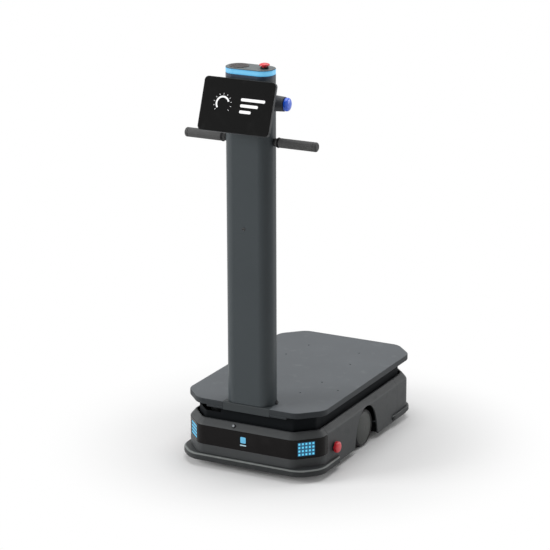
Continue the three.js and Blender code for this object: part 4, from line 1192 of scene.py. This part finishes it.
copies = Pattern("copies_at_places", Part=bpy.types.Object, Turn=tuple)
copies.close(
    copies.geometry(
        "InstanceOnPoints",
        Points=copies["Geometry"],
        Instance=copies.shape_of("Part"),
        Rotation=copies["Turn"],
    )
)
sleeve_outer = insert_radius - 0.0001
sleeve_bore = insert_radius - 0.0010
sleeve_profile = [
    (sleeve_outer, -0.0004),
    (sleeve_outer, -0.011),
    (sleeve_bore, -0.011),
    (sleeve_bore, -0.0010),
    (insert_radius - 0.0004, -0.0004),
]
sleeve = turned("insert_sleeve", sleeve_profile, "Z", origin, closed=True, steps=24)
sleeve_places = [(x, y, deck_high) for x, y in insert_places]
sleeves = copies.grow(
    "threaded_inserts", sleeve_places, Part=sleeve, Turn=(0.0, 0.0, 0.0), Finish=motor_can
)
bpy.data.objects.remove(sleeve)
dress(sleeves, motor_can, "chassis", "steel")

# A rib under the front edge, on each side of the foot.
rib_bottom, rib_end, rib_inset, rib_round = foot_bottom + 0.0008, 0.145, 0.0006, 0.0020
rib_path = stack(
    deck_size,
    (rib_inset + rib_round, rib_bottom),
    (rib_inset, rib_bottom + rib_round),
    (rib_inset, deck_low - 0.0002),
)
rib_whole = lofted("rib_whole", eased(rib_path, 0.0015, 3), steps=32)
rib_halves = []
for side in (1, -1):
    rib_half = parted(
        "rib_half",
        rib_whole,
        ((side * (foot_half + 0.0006), 0, 0), (-side, 0, 0)),
        ((side * rib_end, 0, 0), (side, 0, 0)),
        ((0, deck_size[1] + 0.012, 0), (0, 1, 0)),
    )
    rib_halves.append(bevelled(rib_half, 0.0010, 2, 40))
bpy.data.objects.remove(rib_whole)
front_rib = smooth(gathered("deck_front_rib", *rib_halves))
dress(front_rib, deck_plastic, "chassis", "deck")

# Foot of the mast: an aluminium casting, painted like the mast; its paint here is a darker copy of
# the mast's grey, as painted shade. Its lip closes the notch in the deck's front edge, a spigot
# rises into the mast, and two legs go down to a flange on the floor.

mast_coat = Finish("mast_satin_paint")
mast_speck = mast_coat.noise(500, 3.0)
mast_cloud = mast_coat.noise(4, 4.0) * 0.7 + mast_speck * 0.3
handled = mast_coat.ramp(mast_coat.noise(18, 6.0), 0.6, 0.85)
mast_paint = mast_coat.done(
    Base_Color=mast_coat.mix(mast_cloud, shade(59, 65, 68), shade(67, 73, 76)),
    Roughness=0.40 + handled * 0.1 + (mast_speck - 0.5) * 0.1,
    Specular_IOR_Level=0.22,
    Normal=mast_coat.bump(mast_coat.noise(900, 2.0), 0.00006),
)
# A darker copy of the mast's grey: painted shade on the foot.
foot_paint_shaded = moulded("foot_paint_shaded", shade(54, 59, 61), shade(49, 53, 55), 0.5)
foot_lip = deck_like("foot_lip", foot_bottom)
combined(foot_lip, "INTERSECT", foot_plan("foot_shape", 0.0))
bevelled(foot_lip, 0.0006, 2, 40)
spigot_inset, spigot_wall = 0.0033, 0.006
spigot_ends = (foot_top - 0.001, foot_top + 0.055)
flange_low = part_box("mast_foot")[0].z
leg_rear = base_y - 0.306
leg_front = leg_rear - 0.040
leg_place, leg_half = 0.050, 0.006
legs = []
for x in (-leg_place, leg_place):
    leg_low = (x - leg_half, leg_front, flange_low)
    leg_high = (x + leg_half, leg_rear, foot_bottom + 0.001)
    legs.append(bevelled(block("foot_leg", leg_low, leg_high), 0.001))
flange_half, flange_lap, flange_high = 0.076, 0.004, flange_low + 0.008
flange = block(
    "foot_flange",
    (-flange_half, leg_front - flange_lap, flange_low),
    (flange_half, leg_rear + flange_lap, flange_high),
)
bevelled(flange, 0.0012)
spigot = tube("foot_spigot", mast_size, spigot_inset, spigot_wall, *spigot_ends, (0.001, 2), 12)
foot = smooth(gathered("cast_foot", foot_lip, spigot, flange, *legs))
dress(foot, foot_paint_shaded, "chassis", "mast", "mast_foot")

# Mast: an extruded aluminium tube of rounded section, satin painted. A small camera eye sits in its
# front, and a black gasket closes the joint to the deck behind it.

mast_low, mast_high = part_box("mast_tube")
mast_y = (mast_low.y + mast_high.y) / 2
tube_wall, mast_ease = 0.003, (0.0008, 3)
mast_ends = (mast_low.z, mast_high.z)
mast = tube("mast_extrusion", mast_size, 0, tube_wall, *mast_ends, mast_ease)
handle_z = middle_of("handle_bar").z
start_z, eye_x, eye_z = 1.226, -0.0055, 0.818
bar_hole, stem_hole, eye_hole, past_mast = 0.0103, 0.008, 0.0053, 0.2
combined(
    mast,
    "DIFFERENCE",
    bore("bar_hole", bar_hole, -past_mast, past_mast, "X", (0, mast_y, handle_z), 48),
    bore("stem_hole", stem_hole, 0, past_mast, "X", (0, mast_y, start_z), 32),
    bore("eye_hole", eye_hole, -past_mast, 0, "Y", (eye_x, mast_y, eye_z), 32),
)
dress(smooth(mast), mast_paint, "chassis", "mast", "mast_tube")

eye_face = mast_low.y - 0.001
eye_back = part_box("mast_sensor")[1].y
eye_radius = 0.0050
eye_profile = [
    (0, eye_face + 0.0009),
    (0.0022, eye_face + 0.0010),
    (0.0031, eye_face + 0.0014),
    (0.0034, eye_face),
    (eye_radius, eye_face),
    (eye_radius, eye_back),
    (0, eye_back),
]
eye = turned("mast_eye", eased(eye_profile, 0.0004, 3), "Y", (eye_x, 0, eye_z), steps=48)
dress(eye, smoked_window, "chassis", "gloss_black", "mast_sensor")

gasket_low, gasket_high = deck_high + 0.0002, deck_high + 0.012
gasket_path = stack(
    mast_size,
    (-0.0003, gasket_low),
    (-0.0048, gasket_low),
    (-0.0044, deck_high + 0.0020),
    (-0.0014, deck_high + 0.0075),
    (-0.0010, gasket_high),
    (-0.0003, gasket_high),
)
gasket_whole = lofted("gasket_whole", eased(gasket_path, 0.0012, 3, True), closed=True, steps=24)
gasket = parted("mast_gasket", gasket_whole, ((0, mast_y + 0.004, 0), (0, -1, 0)))
bpy.data.objects.remove(gasket_whole)
dress(smooth(gasket), black_plastic, "chassis", "black_plastic")

# Head of the mast: a dark collar, a diffuser ring that glows blue all round, and a cap with a thin
# chamfer. The cap holds the loudspeaker, a perforated disc in a raised rim.

collar_low, collar_high = heights_of("head_collar")
ring_low, ring_high = heights_of("light_ring")
cap_low, cap_high = heights_of("top_cap")
collar_seat = mast_high.z + 0.0003
head_wall = 0.008
collar_path = stack(
    mast_size,
    (spigot_inset, collar_low),
    (spigot_inset, collar_seat),
    (0, collar_seat),
    (0, collar_high),
    (head_wall, collar_high),
    (head_wall, collar_low),
)
collar = Finish("collar_dark_plastic")
# The collar turns blue towards the glowing ring above it: painted glow from the ring.
painted_ring_glow = collar.ramp(collar.along("Z"), collar_seat, collar_high)
collar_dark = collar.mix(collar.noise(8, 4.0), shade(56, 62, 64), shade(64, 70, 72))
collar_plastic = collar.done(
    Base_Color=collar.mix(painted_ring_glow, collar_dark, shade(54, 66, 88)),
    Roughness=0.34 + collar.noise(60, 4.0) * 0.16,
    Specular_IOR_Level=0.3,
    Normal=collar.bump(collar.noise(900, 2.0), 0.00005),
)
head_collar = lofted("head_neck", eased(collar_path, 0.0005, 2, True), closed=True, steps=24)
dress(smooth(head_collar), collar_plastic, "chassis", "black_plastic", "head_collar")

diffuser = Finish("glowing_diffuser")
ring_share = (diffuser.along("Z") - ring_low) / (ring_high - ring_low)
middle_glow = 1 - (ring_share * 2 - 1) ** 2
led_spots = diffuser.noise(70, 2.0)
glow = middle_glow * 0.7 + led_spots * 0.3
ring_glow = diffuser.done(
    Base_Color=shade(60, 110, 140),
    Roughness=0.3 + led_spots * 0.1,
    Emission_Color=diffuser.mix(glow, shade(62, 160, 214), shade(128, 212, 252)),
    Emission_Strength=0.7,
)
ring = tube("glow_ring", mast_size, 0, head_wall, ring_low, ring_high, (0.0014, 4))
dress(smooth(ring), ring_glow, "chassis", "lamp", "light_ring")

stop_x, speaker_x, speaker_radius = 0.049, -0.040, 0.031
cap_bevel, cap_seat = 0.0012, ring_high + 0.0003
plug_inset, plug_wall = head_wall + 0.0003, 0.004
cap_path = stack(
    mast_size,
    (plug_inset + plug_wall, cap_high - 0.0024),
    (plug_inset + plug_wall, cap_low),
    (plug_inset, cap_low),
    (plug_inset, cap_seat),
    (0, cap_seat),
    (0, cap_high - cap_bevel),
    (cap_bevel, cap_high),
)
cap = lofted("head_cap", eased(cap_path, 0.0004, 2), steps=24)
seat_radius, seat_depth = speaker_radius + 0.0003, 0.0012
over_cap = 1.4
seat_ends = (cap_high - seat_depth, over_cap)
combined(
    cap,
    "DIFFERENCE",
    bore("speaker_seat", seat_radius, *seat_ends, "Z", (speaker_x, mast_y, 0)),
    bore("neck_hole", stop_hole_radius, 1.2, over_cap, "Z", (stop_x, mast_y, 0)),
)
cap_paint = moulded("cap_paint", shade(84, 92, 94), shade(76, 84, 86), 0.42)
dress(bevelled(cap, 0.0003), cap_paint, "chassis", "mast", "top_cap")

speaker_low, speaker_high = heights_of("speaker_grille")
grille_face = speaker_high - 0.0009
grille_profile = [
    (0, speaker_low),
    (speaker_radius, speaker_low),
    (speaker_radius, speaker_high - 0.0006),
    (speaker_radius - 0.0008, speaker_high),
    (speaker_radius - 0.0022, speaker_high),
    (speaker_radius - 0.0034, grille_face),
    (0, grille_face),
]
speaker_grey = clouded(
    "speaker_grey",
    (240, 4.0),
    shade(66, 62, 62),
    shade(82, 77, 76),
    (0.5, 0.15),
    (240, 4.0, 0.00004),
    Metallic=0.2,
    Specular_IOR_Level=0.3,
)
grille_points = eased(grille_profile, 0.0004, 3)
speaker = turned("speaker_disc", grille_points, "Z", (speaker_x, mast_y, 0), steps=72)
dress(speaker, speaker_grey, "chassis", "black_plastic", "speaker_grille")

perforations = Pattern(
    "perforations_in_a_disc",
    Pitch=float,
    Count=int,
    Field=float,
    Hole=float,
    Centre=tuple,
)
row_spacing, pit_depth, pit_sides = 0.866, 0.0003, 8
across = (perforations["Count"] - 1) * perforations["Pitch"]
hole_grid = perforations.geometry(
    "MeshGrid",
    Size_X=across,
    Size_Y=across * row_spacing,
    Vertices_X=perforations["Count"],
    Vertices_Y=perforations["Count"],
)
hole_row = perforations.sum("MODULO", perforations.geometry("InputIndex"), perforations["Count"])
half_pitch = perforations.sum("MODULO", hole_row, 2.0) * perforations["Pitch"] * 0.5
staggered = perforations.geometry(
    "SetPosition", Geometry=hole_grid, Offset=perforations.point(x=half_pitch)
)
too_far = perforations.length(perforations.geometry("InputPosition")) > perforations["Field"]
kept = perforations.node(
    "GeometryNodeDeleteGeometry",
    {"domain": "POINT"},
    {"Geometry": staggered, "Selection": too_far},
)
pit = perforations.node(
    "GeometryNodeMeshCylinder",
    {"fill_type": "NGON"},
    {"Vertices": pit_sides, "Radius": perforations["Hole"], "Depth": pit_depth},
    "Mesh",
)
pits = perforations.geometry("InstanceOnPoints", Points=kept, Instance=pit)
perforations.close(
    perforations.geometry("Transform", Geometry=pits, Translation=perforations["Centre"])
)
# The perforations are shallow near-black pits: their colour is painted shade that stands for the
# depth of each hole.
hole_shade_paint = Finish("hole_shade_paint")
speaker_hole_shade = hole_shade_paint.done(
    Base_Color=hole_shade_paint.mix(hole_shade_paint.noise(400), shade(14, 13, 13), shade(22, 20, 20)),
    Roughness=0.9,
)
holes_in_grille = perforations.grow(
    "speaker_perforations",
    Pitch=0.0028,
    Count=21,
    Field=0.0255,
    Hole=0.0009,
    Centre=(speaker_x, mast_y, grille_face - 0.0001),
    Finish=speaker_hole_shade,
)
dress(holes_in_grille, speaker_hole_shade, "chassis", "black_plastic")

# Emergency stops: a red mushroom head on a latching switch, three times, one on the cap on a short
# black neck and one low on each side in a flat black collar. The heads are glossy moulded plastic.

stop_red = clouded(
    "stop_red_plastic",
    (120, 5.0),
    shade(206, 26, 40),
    shade(224, 40, 54),
    (0.26, 0.14),
    (500, 2.0, 0.00003),
    (0.2, 0.1),
)
stop_stem, stop_travel, stop_depth, stop_neck = 0.007, 0.004, 0.022, 0.011
stop_bore = stop_stem + fit_gap
stem_end = -stop_depth + stop_travel + 0.002
bore_end = stem_end - stop_travel - 0.001


def emergency_stop(word, axis, centre, side, collar_size, head_size, skirt):
    """The collar and the head are each a radius and a height. The skirt hangs over the collar."""
    collar_radius, collar_rise = collar_size
    radius, height = head_size
    collar_profile = [
        (0, -stop_depth),
        (stop_neck, -stop_depth),
        (stop_neck, fit_gap),
        (collar_radius, fit_gap),
        (collar_radius, collar_rise),
        (stop_bore + 0.0012, collar_rise),
        (stop_bore, collar_rise - 0.0010),
        (stop_bore, bore_end),
        (0, bore_end),
    ]
    under = collar_rise + stop_travel + fit_gap
    top = under + height
    edge = radius - 0.0001
    skirt_inner = max(collar_radius + 0.0006, radius - 0.0040)
    head_profile = [
        (0, stem_end),
        (stop_stem, stem_end),
        (stop_stem, under),
        (skirt_inner, under),
        (skirt_inner, under - skirt),
        (radius - 0.0012, under - skirt),
        (edge, under - skirt + 0.0012),
        (edge, under + height * 0.54),
        (radius * 0.86, top - 0.0027),
        (radius * 0.5, top - 0.0007),
        (0, top - 0.0001),
    ]
    points = to_side(eased(collar_profile, 0.0009, 4), side)
    neck = turned(f"stop_neck_{word}", points, axis, centre, steps=72)
    dress(neck, black_plastic, "chassis", "black_plastic", f"stop_collar_{word}")
    points = to_side(eased(head_profile, 0.0018, 4), side)
    head = turned(f"stop_head_{word}", points, axis, centre, steps=72)
    dress(head, stop_red, f"stop_head_{word}", "red", f"stop_button_{word}")


low_collar, low_head = (0.0152, 0.003), (0.0185, 0.013)
top_collar, top_head = (0.0128, 0.004), (0.0165, 0.009)
for side_word, side in sides:
    face_point = (side * wall_half_width, stop_y, stop_z)
    emergency_stop(side_word, "X", face_point, side, low_collar, low_head, 0.0028)
emergency_stop("top", "Z", (stop_x, mast_y, cap_high), 1, top_collar, top_head, 0.0001)

# Power button: a small steel push button with a dot in its face, lit on the real button but given
# no glow here, square to the slope of the front shoulder, in a thin black ring that holds it from
# outside.

power_under = 0.0018
power_top = power_under + 0.003
power_stem, power_radius, dot_radius = 0.003, 0.0045, 0.0022
power_profile = [
    (0, -0.008),
    (power_stem, -0.008),
    (power_stem, power_under),
    (power_radius, power_under),
    (power_radius, power_top),
    (dot_radius, power_top),
    (dot_radius - 0.0003, power_top - 0.0003),
    (0, power_top - 0.0003),
]
satin_steel = clouded(
    "satin_steel_cap",
    (420, 3.0),
    shade(112, 115, 118),
    shade(132, 135, 138),
    (0.42, 0.14),
    Metallic=0.5,
    Specular_IOR_Level=0.2,
)
power = turned("power_push", eased(power_profile, 0.0004, 3), "Z", origin, steps=40)
power.data.transform(onto_shoulder)
dress(power, satin_steel, "power_cap", "steel", "power_button")
ring_points = [(0.0049, -0.004), (0.0049, 0.0010), (0.0058, 0.0015), (0.0072, 0.0006)]
ring_points += [(0.0072, 0.0001), (0.0056, 0.0001), (0.0056, -0.004)]
power_ring = turned("power_ring", eased(ring_points, 0.0002, 2, True), "Z", origin, True, 40)
power_ring.data.transform(onto_shoulder)
dress(power_ring, black_plastic, "chassis", "black_plastic")

# Handles: one steel bar runs through the mast, with a black neck, a grey cone and a collar on each
# side. Grips of dense foam rubber are pushed over its ends, a black ring first, and a groove before
# the far end.

mast_half = mast_size[0]
bar_radius, neck_radius, collar_radius, grip_radius = 0.010, 0.0125, 0.0166, 0.0153
cone_start, collar_start, collar_end = 0.0885, 0.0962, 0.0995
bar_end, grip_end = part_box("handle_bar")[1].x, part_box("handle_grip_left")[1].x
half_bar = [
    (bar_radius, mast_half + fit_gap),
    (neck_radius, mast_half + fit_gap),
    (neck_radius, cone_start),
    (collar_radius - 0.0010, collar_start),
    (collar_radius, collar_start),
    (collar_radius, collar_end),
    (bar_radius, collar_end),
    (bar_radius, bar_end),
    (0, bar_end),
]
foam = Finish("grip_foam_rubber")
palm_shine = foam.ramp(foam.noise(26, 5.0), 0.5, 0.8)
grip_foam = foam.done(
    Base_Color=foam.mix(foam.noise(30, 5.0), shade(72, 72, 72), shade(86, 86, 86)),
    Roughness=0.68 - palm_shine * 0.16,
    Specular_IOR_Level=0.25,
    Normal=foam.bump(foam.cells(900.0, "Distance"), 0.00012),
)
whole_bar = eased(to_side(reversed(half_bar), -1) + half_bar, 0.0006, 3)
bar = turned("handle_tube", whole_bar, "X", (0, mast_y, handle_z), steps=72)
dress(bar, black_plastic, "chassis", "black_plastic", "handle_bar")
cone_ends = (cone_start + 0.0004, collar_start - 0.0004)
two_tone(bar, grip_foam, lambda middle: cone_ends[0] < abs(middle.x) < cone_ends[1])
grip_bore, grip_start = bar_radius + fit_gap, collar_end + fit_gap
ring_end, groove, groove_half = grip_start + 0.0035, grip_end - 0.0125, 0.0012
grip_profile = [
    (grip_bore, grip_start),
    (grip_radius, grip_start),
    (grip_radius, ring_end),
    (grip_radius, groove - groove_half),
    (grip_radius - 0.0012, groove - 0.0004),
    (grip_radius - 0.0012, groove + 0.0004),
    (grip_radius, groove + groove_half),
    (grip_radius, grip_end - 0.0035),
    (grip_radius - 0.0045, grip_end),
    (0, grip_end),
    (0, bar_end + fit_gap),
    (grip_bore, bar_end + fit_gap),
]
grip_ease = [0.0005, 0.0014, 0.0] + [0.0004] * 4 + [0.0022, 0.0022, 0.0, 0.0, 0.0003]
grip_points = [(max(radius, 0), x) for radius, x in eased_each(grip_profile, grip_ease, 4)]
for side_word, side in sides:
    points = to_side(grip_points, side)
    grip = turned(f"foam_grip_{side_word}", points, "X", (0, mast_y, handle_z), True, 72)
    dress(grip, grip_foam, "chassis", "grip_rubber", f"handle_grip_{side_word}")
    two_tone(grip, black_plastic, lambda middle: abs(middle.x) < ring_end)

# Start button: a large blue push button for the operator's hand, in a tapered round housing of grey
# plastic that is shaped to the side of the mast and screwed on from inside.

start_radius, start_reach, start_stem, start_travel = 0.0255, 0.120, 0.006, 0.003
start_tip, housing_back, lip_depth = start_radius - 0.0025, 0.060, 0.0012
stem_end = start_reach - 0.018
stem_room = start_stem + fit_gap
stem_room_end = stem_end - start_travel - 0.002
housing_profile = [
    (0, housing_back),
    (start_radius, housing_back),
    (start_radius, mast_half),
    (start_tip, start_reach),
    (start_tip - 0.0024, start_reach),
    (start_tip - 0.0030, start_reach - lip_depth),
    (stem_room, start_reach - lip_depth),
    (stem_room, stem_room_end),
    (0, stem_room_end),
]
start_point = (0, mast_y, start_z)
housing = turned("start_housing", eased(housing_profile, 0.0009, 4), "X", start_point, steps=72)
mast_room = lofted("mast_room", stack(mast_size, (-fit_gap, 1.0), (-fit_gap, 1.4)), steps=32)
combined(housing, "DIFFERENCE", mast_room)
housing_plastic = moulded("housing_plastic", shade(80, 82, 86), shade(72, 74, 78), 0.46)
dress(smooth(housing), housing_plastic, "chassis", "black_plastic", "start_button_housing")

# The faint blue emission is painted glow that brightens the button; no lamp lights it.
start_blue = clouded(
    "start_blue_plastic",
    (110, 5.0),
    shade(18, 84, 216),
    shade(30, 98, 232),
    (0.24, 0.14),
    (500, 2.0, 0.00003),
    (0.25, 0.1),
    Emission_Color=shade(30, 96, 236),
    Emission_Strength=0.06,
)
button_radius = 0.0215
button_under = start_reach + start_travel + fit_gap
button_top = button_under + 0.014
button_profile = [
    (0, stem_end),
    (start_stem, stem_end),
    (start_stem, button_under),
    (button_radius - 0.0008, button_under),
    (button_radius, button_under + 0.0008),
    (button_radius, button_top - 0.0072),
    (button_radius * 0.92, button_top - 0.0034),
    (button_radius * 0.68, button_top - 0.0010),
    (button_radius * 0.34, button_top - 0.0001),
    (0, button_top),
]
start_cap = turned("start_push", eased(button_profile, 0.0022, 4), "X", start_point, steps=72)
dress(start_cap, start_blue, "start_cap", "blue", "start_button")

# Screws: black steel button-head screws with a round socket. Four hold the rear cover, and four on
# the back of the mast hold the tablet's bracket. Their shanks are not modelled.

head_low, socket_floor, head_radius, socket_radius = 0.0001, 0.0008, 0.0044, 0.0020
screw_profile = [
    (0, head_low),
    (head_radius, head_low),
    (head_radius, socket_floor),
    (0.0034, 0.0019),
    (socket_radius, 0.0022),
    (socket_radius, socket_floor),
    (0, socket_floor),
]
screw = turned("screw_blank", eased(screw_profile, 0.0003, 2), "Z", origin, steps=24)
rear_face = base_y + wall_half_length
cover_screw_x, cover_screw_z = 0.135, (0.062, 0.124)
bracket_screw_x, bracket_screw_z = 0.028, (1.165, 1.205)
screw_places = [(side * cover_screw_x, rear_face, z) for side in (-1, 1) for z in cover_screw_z]
screw_places += [
    (side * bracket_screw_x, mast_high.y, z) for side in (-1, 1) for z in bracket_screw_z
]
to_rear = (-math.pi / 2, 0.0, 0.0)
screws = copies.grow("rear_screws", screw_places, Part=screw, Turn=to_rear, Finish=motor_can)
bpy.data.objects.remove(screw)
dress(screws, motor_can, "chassis", "steel")

# Tablet and its hinge: a tablet in a thin black case tilts on a steel pin between two ears of a
# folded bracket on the mast. Its glass is a dark sheet with a narrow rim, and the picture is a
# plain status screen.

bracket = from_cad("tablet_bracket", "tilt_bracket", 0.0008)
dress(bracket, frame_paint, "chassis", "frame", "tablet_bracket")
pin = from_cad("tablet_pin", "tilt_pin", 0.0003)
dress(pin, zinc_plate, "chassis", "steel", "tablet_pin")

tilted = Matrix.Translation(middle_of("tablet_pin")) @ Matrix.Rotation(math.radians(-19.9), 4, "X")
tablet_half_width, tablet_half_height, tablet_corner = 0.1256, 0.0853, 0.014
tablet_thickness, standoff, drop = 0.014, 0.0186, 0.008
stand_up = Matrix(((1, 0, 0, 0), (0, 0, 1, 0), (0, 1, 0, 0), (0, 0, 0, 1)))
stood_up = tilted @ Matrix.Translation((0, -standoff - tablet_thickness, -drop)) @ stand_up


def on_tablet(piece):
    """Takes a piece drawn flat, face down, to where it sits on the tilted tablet."""
    piece.data.transform(stood_up)
    piece.data.flip_normals()
    return piece


tablet_size = (tablet_half_width, -tablet_half_height, tablet_half_height, tablet_corner, 0.0)
rim_width = 0.002
glass_size = inset(tablet_size, rim_width)
seat_inset = rim_width - fit_gap
case_path = stack(
    tablet_size,
    (seat_inset, 0.0019),
    (seat_inset, 0.0004),
    (0, 0.0),
    (0, tablet_thickness - 0.0035),
    (0.005, tablet_thickness),
    (0.012, tablet_thickness),
)
case = on_tablet(lofted("tablet_shell", eased(case_path, 0.0012, 4), steps=16))
knuckle, lug_half, pin_hole, past_lug = 0.008, 0.020, 0.0033, 0.1
lug = block("tilt_lug", (-lug_half, -standoff - 0.001, -knuckle), (lug_half, 0, knuckle))
bevelled(lug, 0.0006)
barrel_profile = [(0, -lug_half), (knuckle, -lug_half), (knuckle, lug_half), (0, lug_half)]
barrel = turned("tilt_barrel", eased(barrel_profile, 0.0006, 2), "X", origin, steps=48)
combined(lug, "UNION", barrel)
combined(lug, "DIFFERENCE", bore("pin_bore", pin_hole, -past_lug, past_lug, "X", origin, 32))
lug.data.transform(tilted)
case = smooth(gathered("tablet_body", case, lug))
case_plastic = moulded("tablet_case_plastic", shade(52, 54, 56), shade(44, 46, 48), 0.4)
dress(case, case_plastic, "tablet", "black_plastic", "tablet_case")

glass_path = stack(glass_size, (0, 0.0016), (0, 0.0003), (0.0004, 0.0), (0.008, 0.0))
glass = on_tablet(lofted("tablet_screen", eased(glass_path, 0.0003, 2), steps=16))
cover_glass = Finish("screen_glass")
finger_marks = cover_glass.ramp(cover_glass.noise(34, 6.0), 0.5, 0.8)
screen_glass = cover_glass.done(
    Base_Color=cover_glass.mix(finger_marks, shade(27, 27, 27), shade(32, 32, 32)),
    Roughness=0.1 + finger_marks * 0.16,
    Specular_IOR_Level=0.05,
    Normal=cover_glass.bump(cover_glass.noise(20, 2.0), 0.00002),
)
dress(smooth(glass), screen_glass, "tablet", "gloss_black", "tablet_glass")

# The status screen: a dial with ticks round it, and three bars.
white_pixels = Finish("lit_white_pixels")
pixel_grain = white_pixels.noise(700, 2.0)
lit_white = white_pixels.done(
    Base_Color=shade(60, 60, 60),
    Roughness=0.5,
    Emission_Color=white_pixels.mix(pixel_grain, shade(246, 247, 248), shade(255, 255, 255)),
    Emission_Strength=1.0,
)
mark_rise, mark_depth = -0.00008, 0.0004


def flat_mark(name, points):
    mark = on_tablet(prism(name, points, "Z", mark_rise, mark_depth))
    return dress(mark, lit_white, "tablet", "gloss_black")


def arc_points(radius, start, stop, steps):
    """Points round the dial's middle. Angles are clockwise from the top."""
    angles = [start + (stop - start) * step / steps for step in range(steps + 1)]
    spots = [(radius * math.sin(angle), radius * math.cos(angle)) for angle in angles]
    return [(dial_x + x, dial_y + y) for x, y in spots]


dial_x, dial_y = -0.050, 0.004
dial_radius, dial_width = 0.024, 0.0055
dial_start, dial_stop = math.radians(-130), math.radians(70)
outer_arc = arc_points(dial_radius, dial_start, dial_stop, 48)
inner_arc = arc_points(dial_radius - dial_width, dial_stop, dial_start, 48)
flat_mark("screen_dial", outer_arc + inner_arc)

ticks = Pattern(
    "ticks_round_a_dial", Count=int, Radius=float, First=float, Step=float, Size=tuple
)
tick_turn = ticks["First"] + ticks.geometry("InputIndex") * ticks["Step"]
tick_row = ticks.geometry("MeshLine", Count=ticks["Count"], Offset=(0.0, 0.0, 0.0))
tick_marks = ticks.geometry(
    "InstanceOnPoints",
    Points=tick_row,
    Instance=ticks.geometry("MeshCube", Size=ticks["Size"]),
    Rotation=ticks.point(z=tick_turn * -1),
)
tick_place = ticks.point(
    ticks["Radius"] * ticks.sum("SINE", tick_turn), ticks["Radius"] * ticks.sum("COSINE", tick_turn)
)
ticks.close(ticks.geometry("SetPosition", Geometry=tick_marks, Position=tick_place))
tick_ring = ticks.grow(
    "screen_ticks",
    Count=11,
    Radius=dial_radius + 0.006,
    First=dial_start,
    Step=math.radians(26),
    Size=(0.0012, 0.0045, mark_depth),
    Finish=lit_white,
)
tick_ring.data.transform(Matrix.Translation((dial_x, dial_y, mark_rise + mark_depth / 2)))
dress(on_tablet(tick_ring), lit_white, "tablet", "gloss_black")

bar_left, half_bar_height = 0.012, 0.0046
bar_lengths, bar_heights = (0.084, 0.062, 0.040), (0.022, 0.003, -0.016)
for number, (length, y) in enumerate(zip(bar_lengths, bar_heights), 1):
    corners = rectangle(bar_left, y - half_bar_height, bar_left + length, y + half_bar_height)
    flat_mark(f"screen_bar_{number}", eased(corners, half_bar_height, 6, True))

# Camera, floor and lamps: the camera stands where the photograph was taken from. The floor is plain
# and pale, the sky is white to the camera and soft on the robot, and three large lamps shape it.

scene = bpy.context.scene
azimuth, elevation = math.radians(26.99), math.radians(16.55)
distance, target = 8.154, Vector((0, base_y, 0.594))
right = Vector((math.cos(azimuth), math.sin(azimuth), 0))
level_back = Vector((math.sin(azimuth), -math.cos(azimuth), 0))
back = level_back * math.cos(elevation) + Vector((0, 0, math.sin(elevation)))
lens_data = bpy.data.cameras.new("photo_camera")
lens_data.lens = 161.0
lens_data.sensor_width = 36.0
lens_data.shift_x = -0.0471
lens_data.shift_y = -0.0155
camera = bpy.data.objects.new("photo_camera", lens_data)
scene.collection.objects.link(camera)
turn = Matrix((right, back.cross(right), back)).transposed().to_4x4()
camera.matrix_world = Matrix.Translation(target + back * distance) @ turn
scene.camera = camera
scene.view_settings.view_transform = "Standard"


class Backdrop(NodeTree):
    """The nodes of the sky or the floor, with what a ray sees straight or in a mirror or glass."""

    def __init__(self, tree):
        self.tree = tree

    def seen(self):
        kinds = ("Is Camera Ray", "Is Glossy Ray", "Is Transmission Ray")
        straight, glossy, through = [self.node("ShaderNodeLightPath", output=k) for k in kinds]
        settings = {"operation": "ADD", "use_clamp": True}
        return self.node("ShaderNodeMath", settings, {0: straight + glossy, 1: through})


white = (1, 1, 1, 1)
sky = bpy.data.worlds.new("soft_sky")
sky.use_nodes = True
scene.world = sky
sky_tree = Backdrop(sky.node_tree)
sky_node = sky.node_tree.nodes["Background"]
sky_level = 0.16
sky_node.inputs["Color"].default_value = white
sky_tree.feed(sky_node.inputs["Strength"], sky_level + sky_tree.seen() * (1 - sky_level))

floor_half, floor_bottom, floor_top = 9, -0.02, -0.0005
floor_corners = rectangle(-floor_half, -floor_half, floor_half, floor_half)
floor = prism("studio_floor", floor_corners, "Z", floor_bottom, floor_top)
floor_material = bpy.data.materials.new("pale_floor")
floor_material.use_nodes = True
floor_tree = Backdrop(floor_material.node_tree)
floor_shader = floor_material.node_tree.nodes["Principled BSDF"]
floor_shader.inputs["Base Color"].default_value = (0.84, 0.84, 0.84, 1)
floor_shader.inputs["Roughness"].default_value = 0.9
floor_shader.inputs["Specular IOR Level"].default_value = 0.1
white_floor = floor_tree.node("ShaderNodeEmission", inputs={"Color": white, "Strength": 1.0})
from_middle = floor_tree.length(floor_tree.node("ShaderNodeTexCoord", output="Object"))
far_off = floor_tree.ramp(from_middle, 0.27, 0.88)
near_floor = Signal(floor_tree, floor_shader.outputs[0])
floor_mix = floor_tree.node(
    "ShaderNodeMixShader", inputs={0: far_off * floor_tree.seen(), 1: near_floor, 2: white_floor}
)
floor_output = floor_material.node_tree.nodes["Material Output"]
floor_tree.feed(floor_output.inputs["Surface"], floor_mix)
floor.data.materials.append(floor_material)


def soft_lamp(name, place, aim_height, size, power):
    data = bpy.data.lights.new(name, "AREA")
    data.size = size
    data.energy = power
    lamp = bpy.data.objects.new(name, data)
    scene.collection.objects.link(lamp)
    away = Vector(place) - Vector((0, 0, aim_height))
    turn = away.to_track_quat("Z", "Y").to_matrix().to_4x4()
    lamp.matrix_world = Matrix.Translation(place) @ turn


soft_lamp("key_lamp", (-4.2, -3.2, 2.2), 0.6, 2.4, 215)
soft_lamp("top_lamp", (0.2, 0.3, 4.2), 0.2, 3.2, 112)
soft_lamp("side_lamp", (3.3, 3.6, 1.7), 0.6, 2.0, 64)
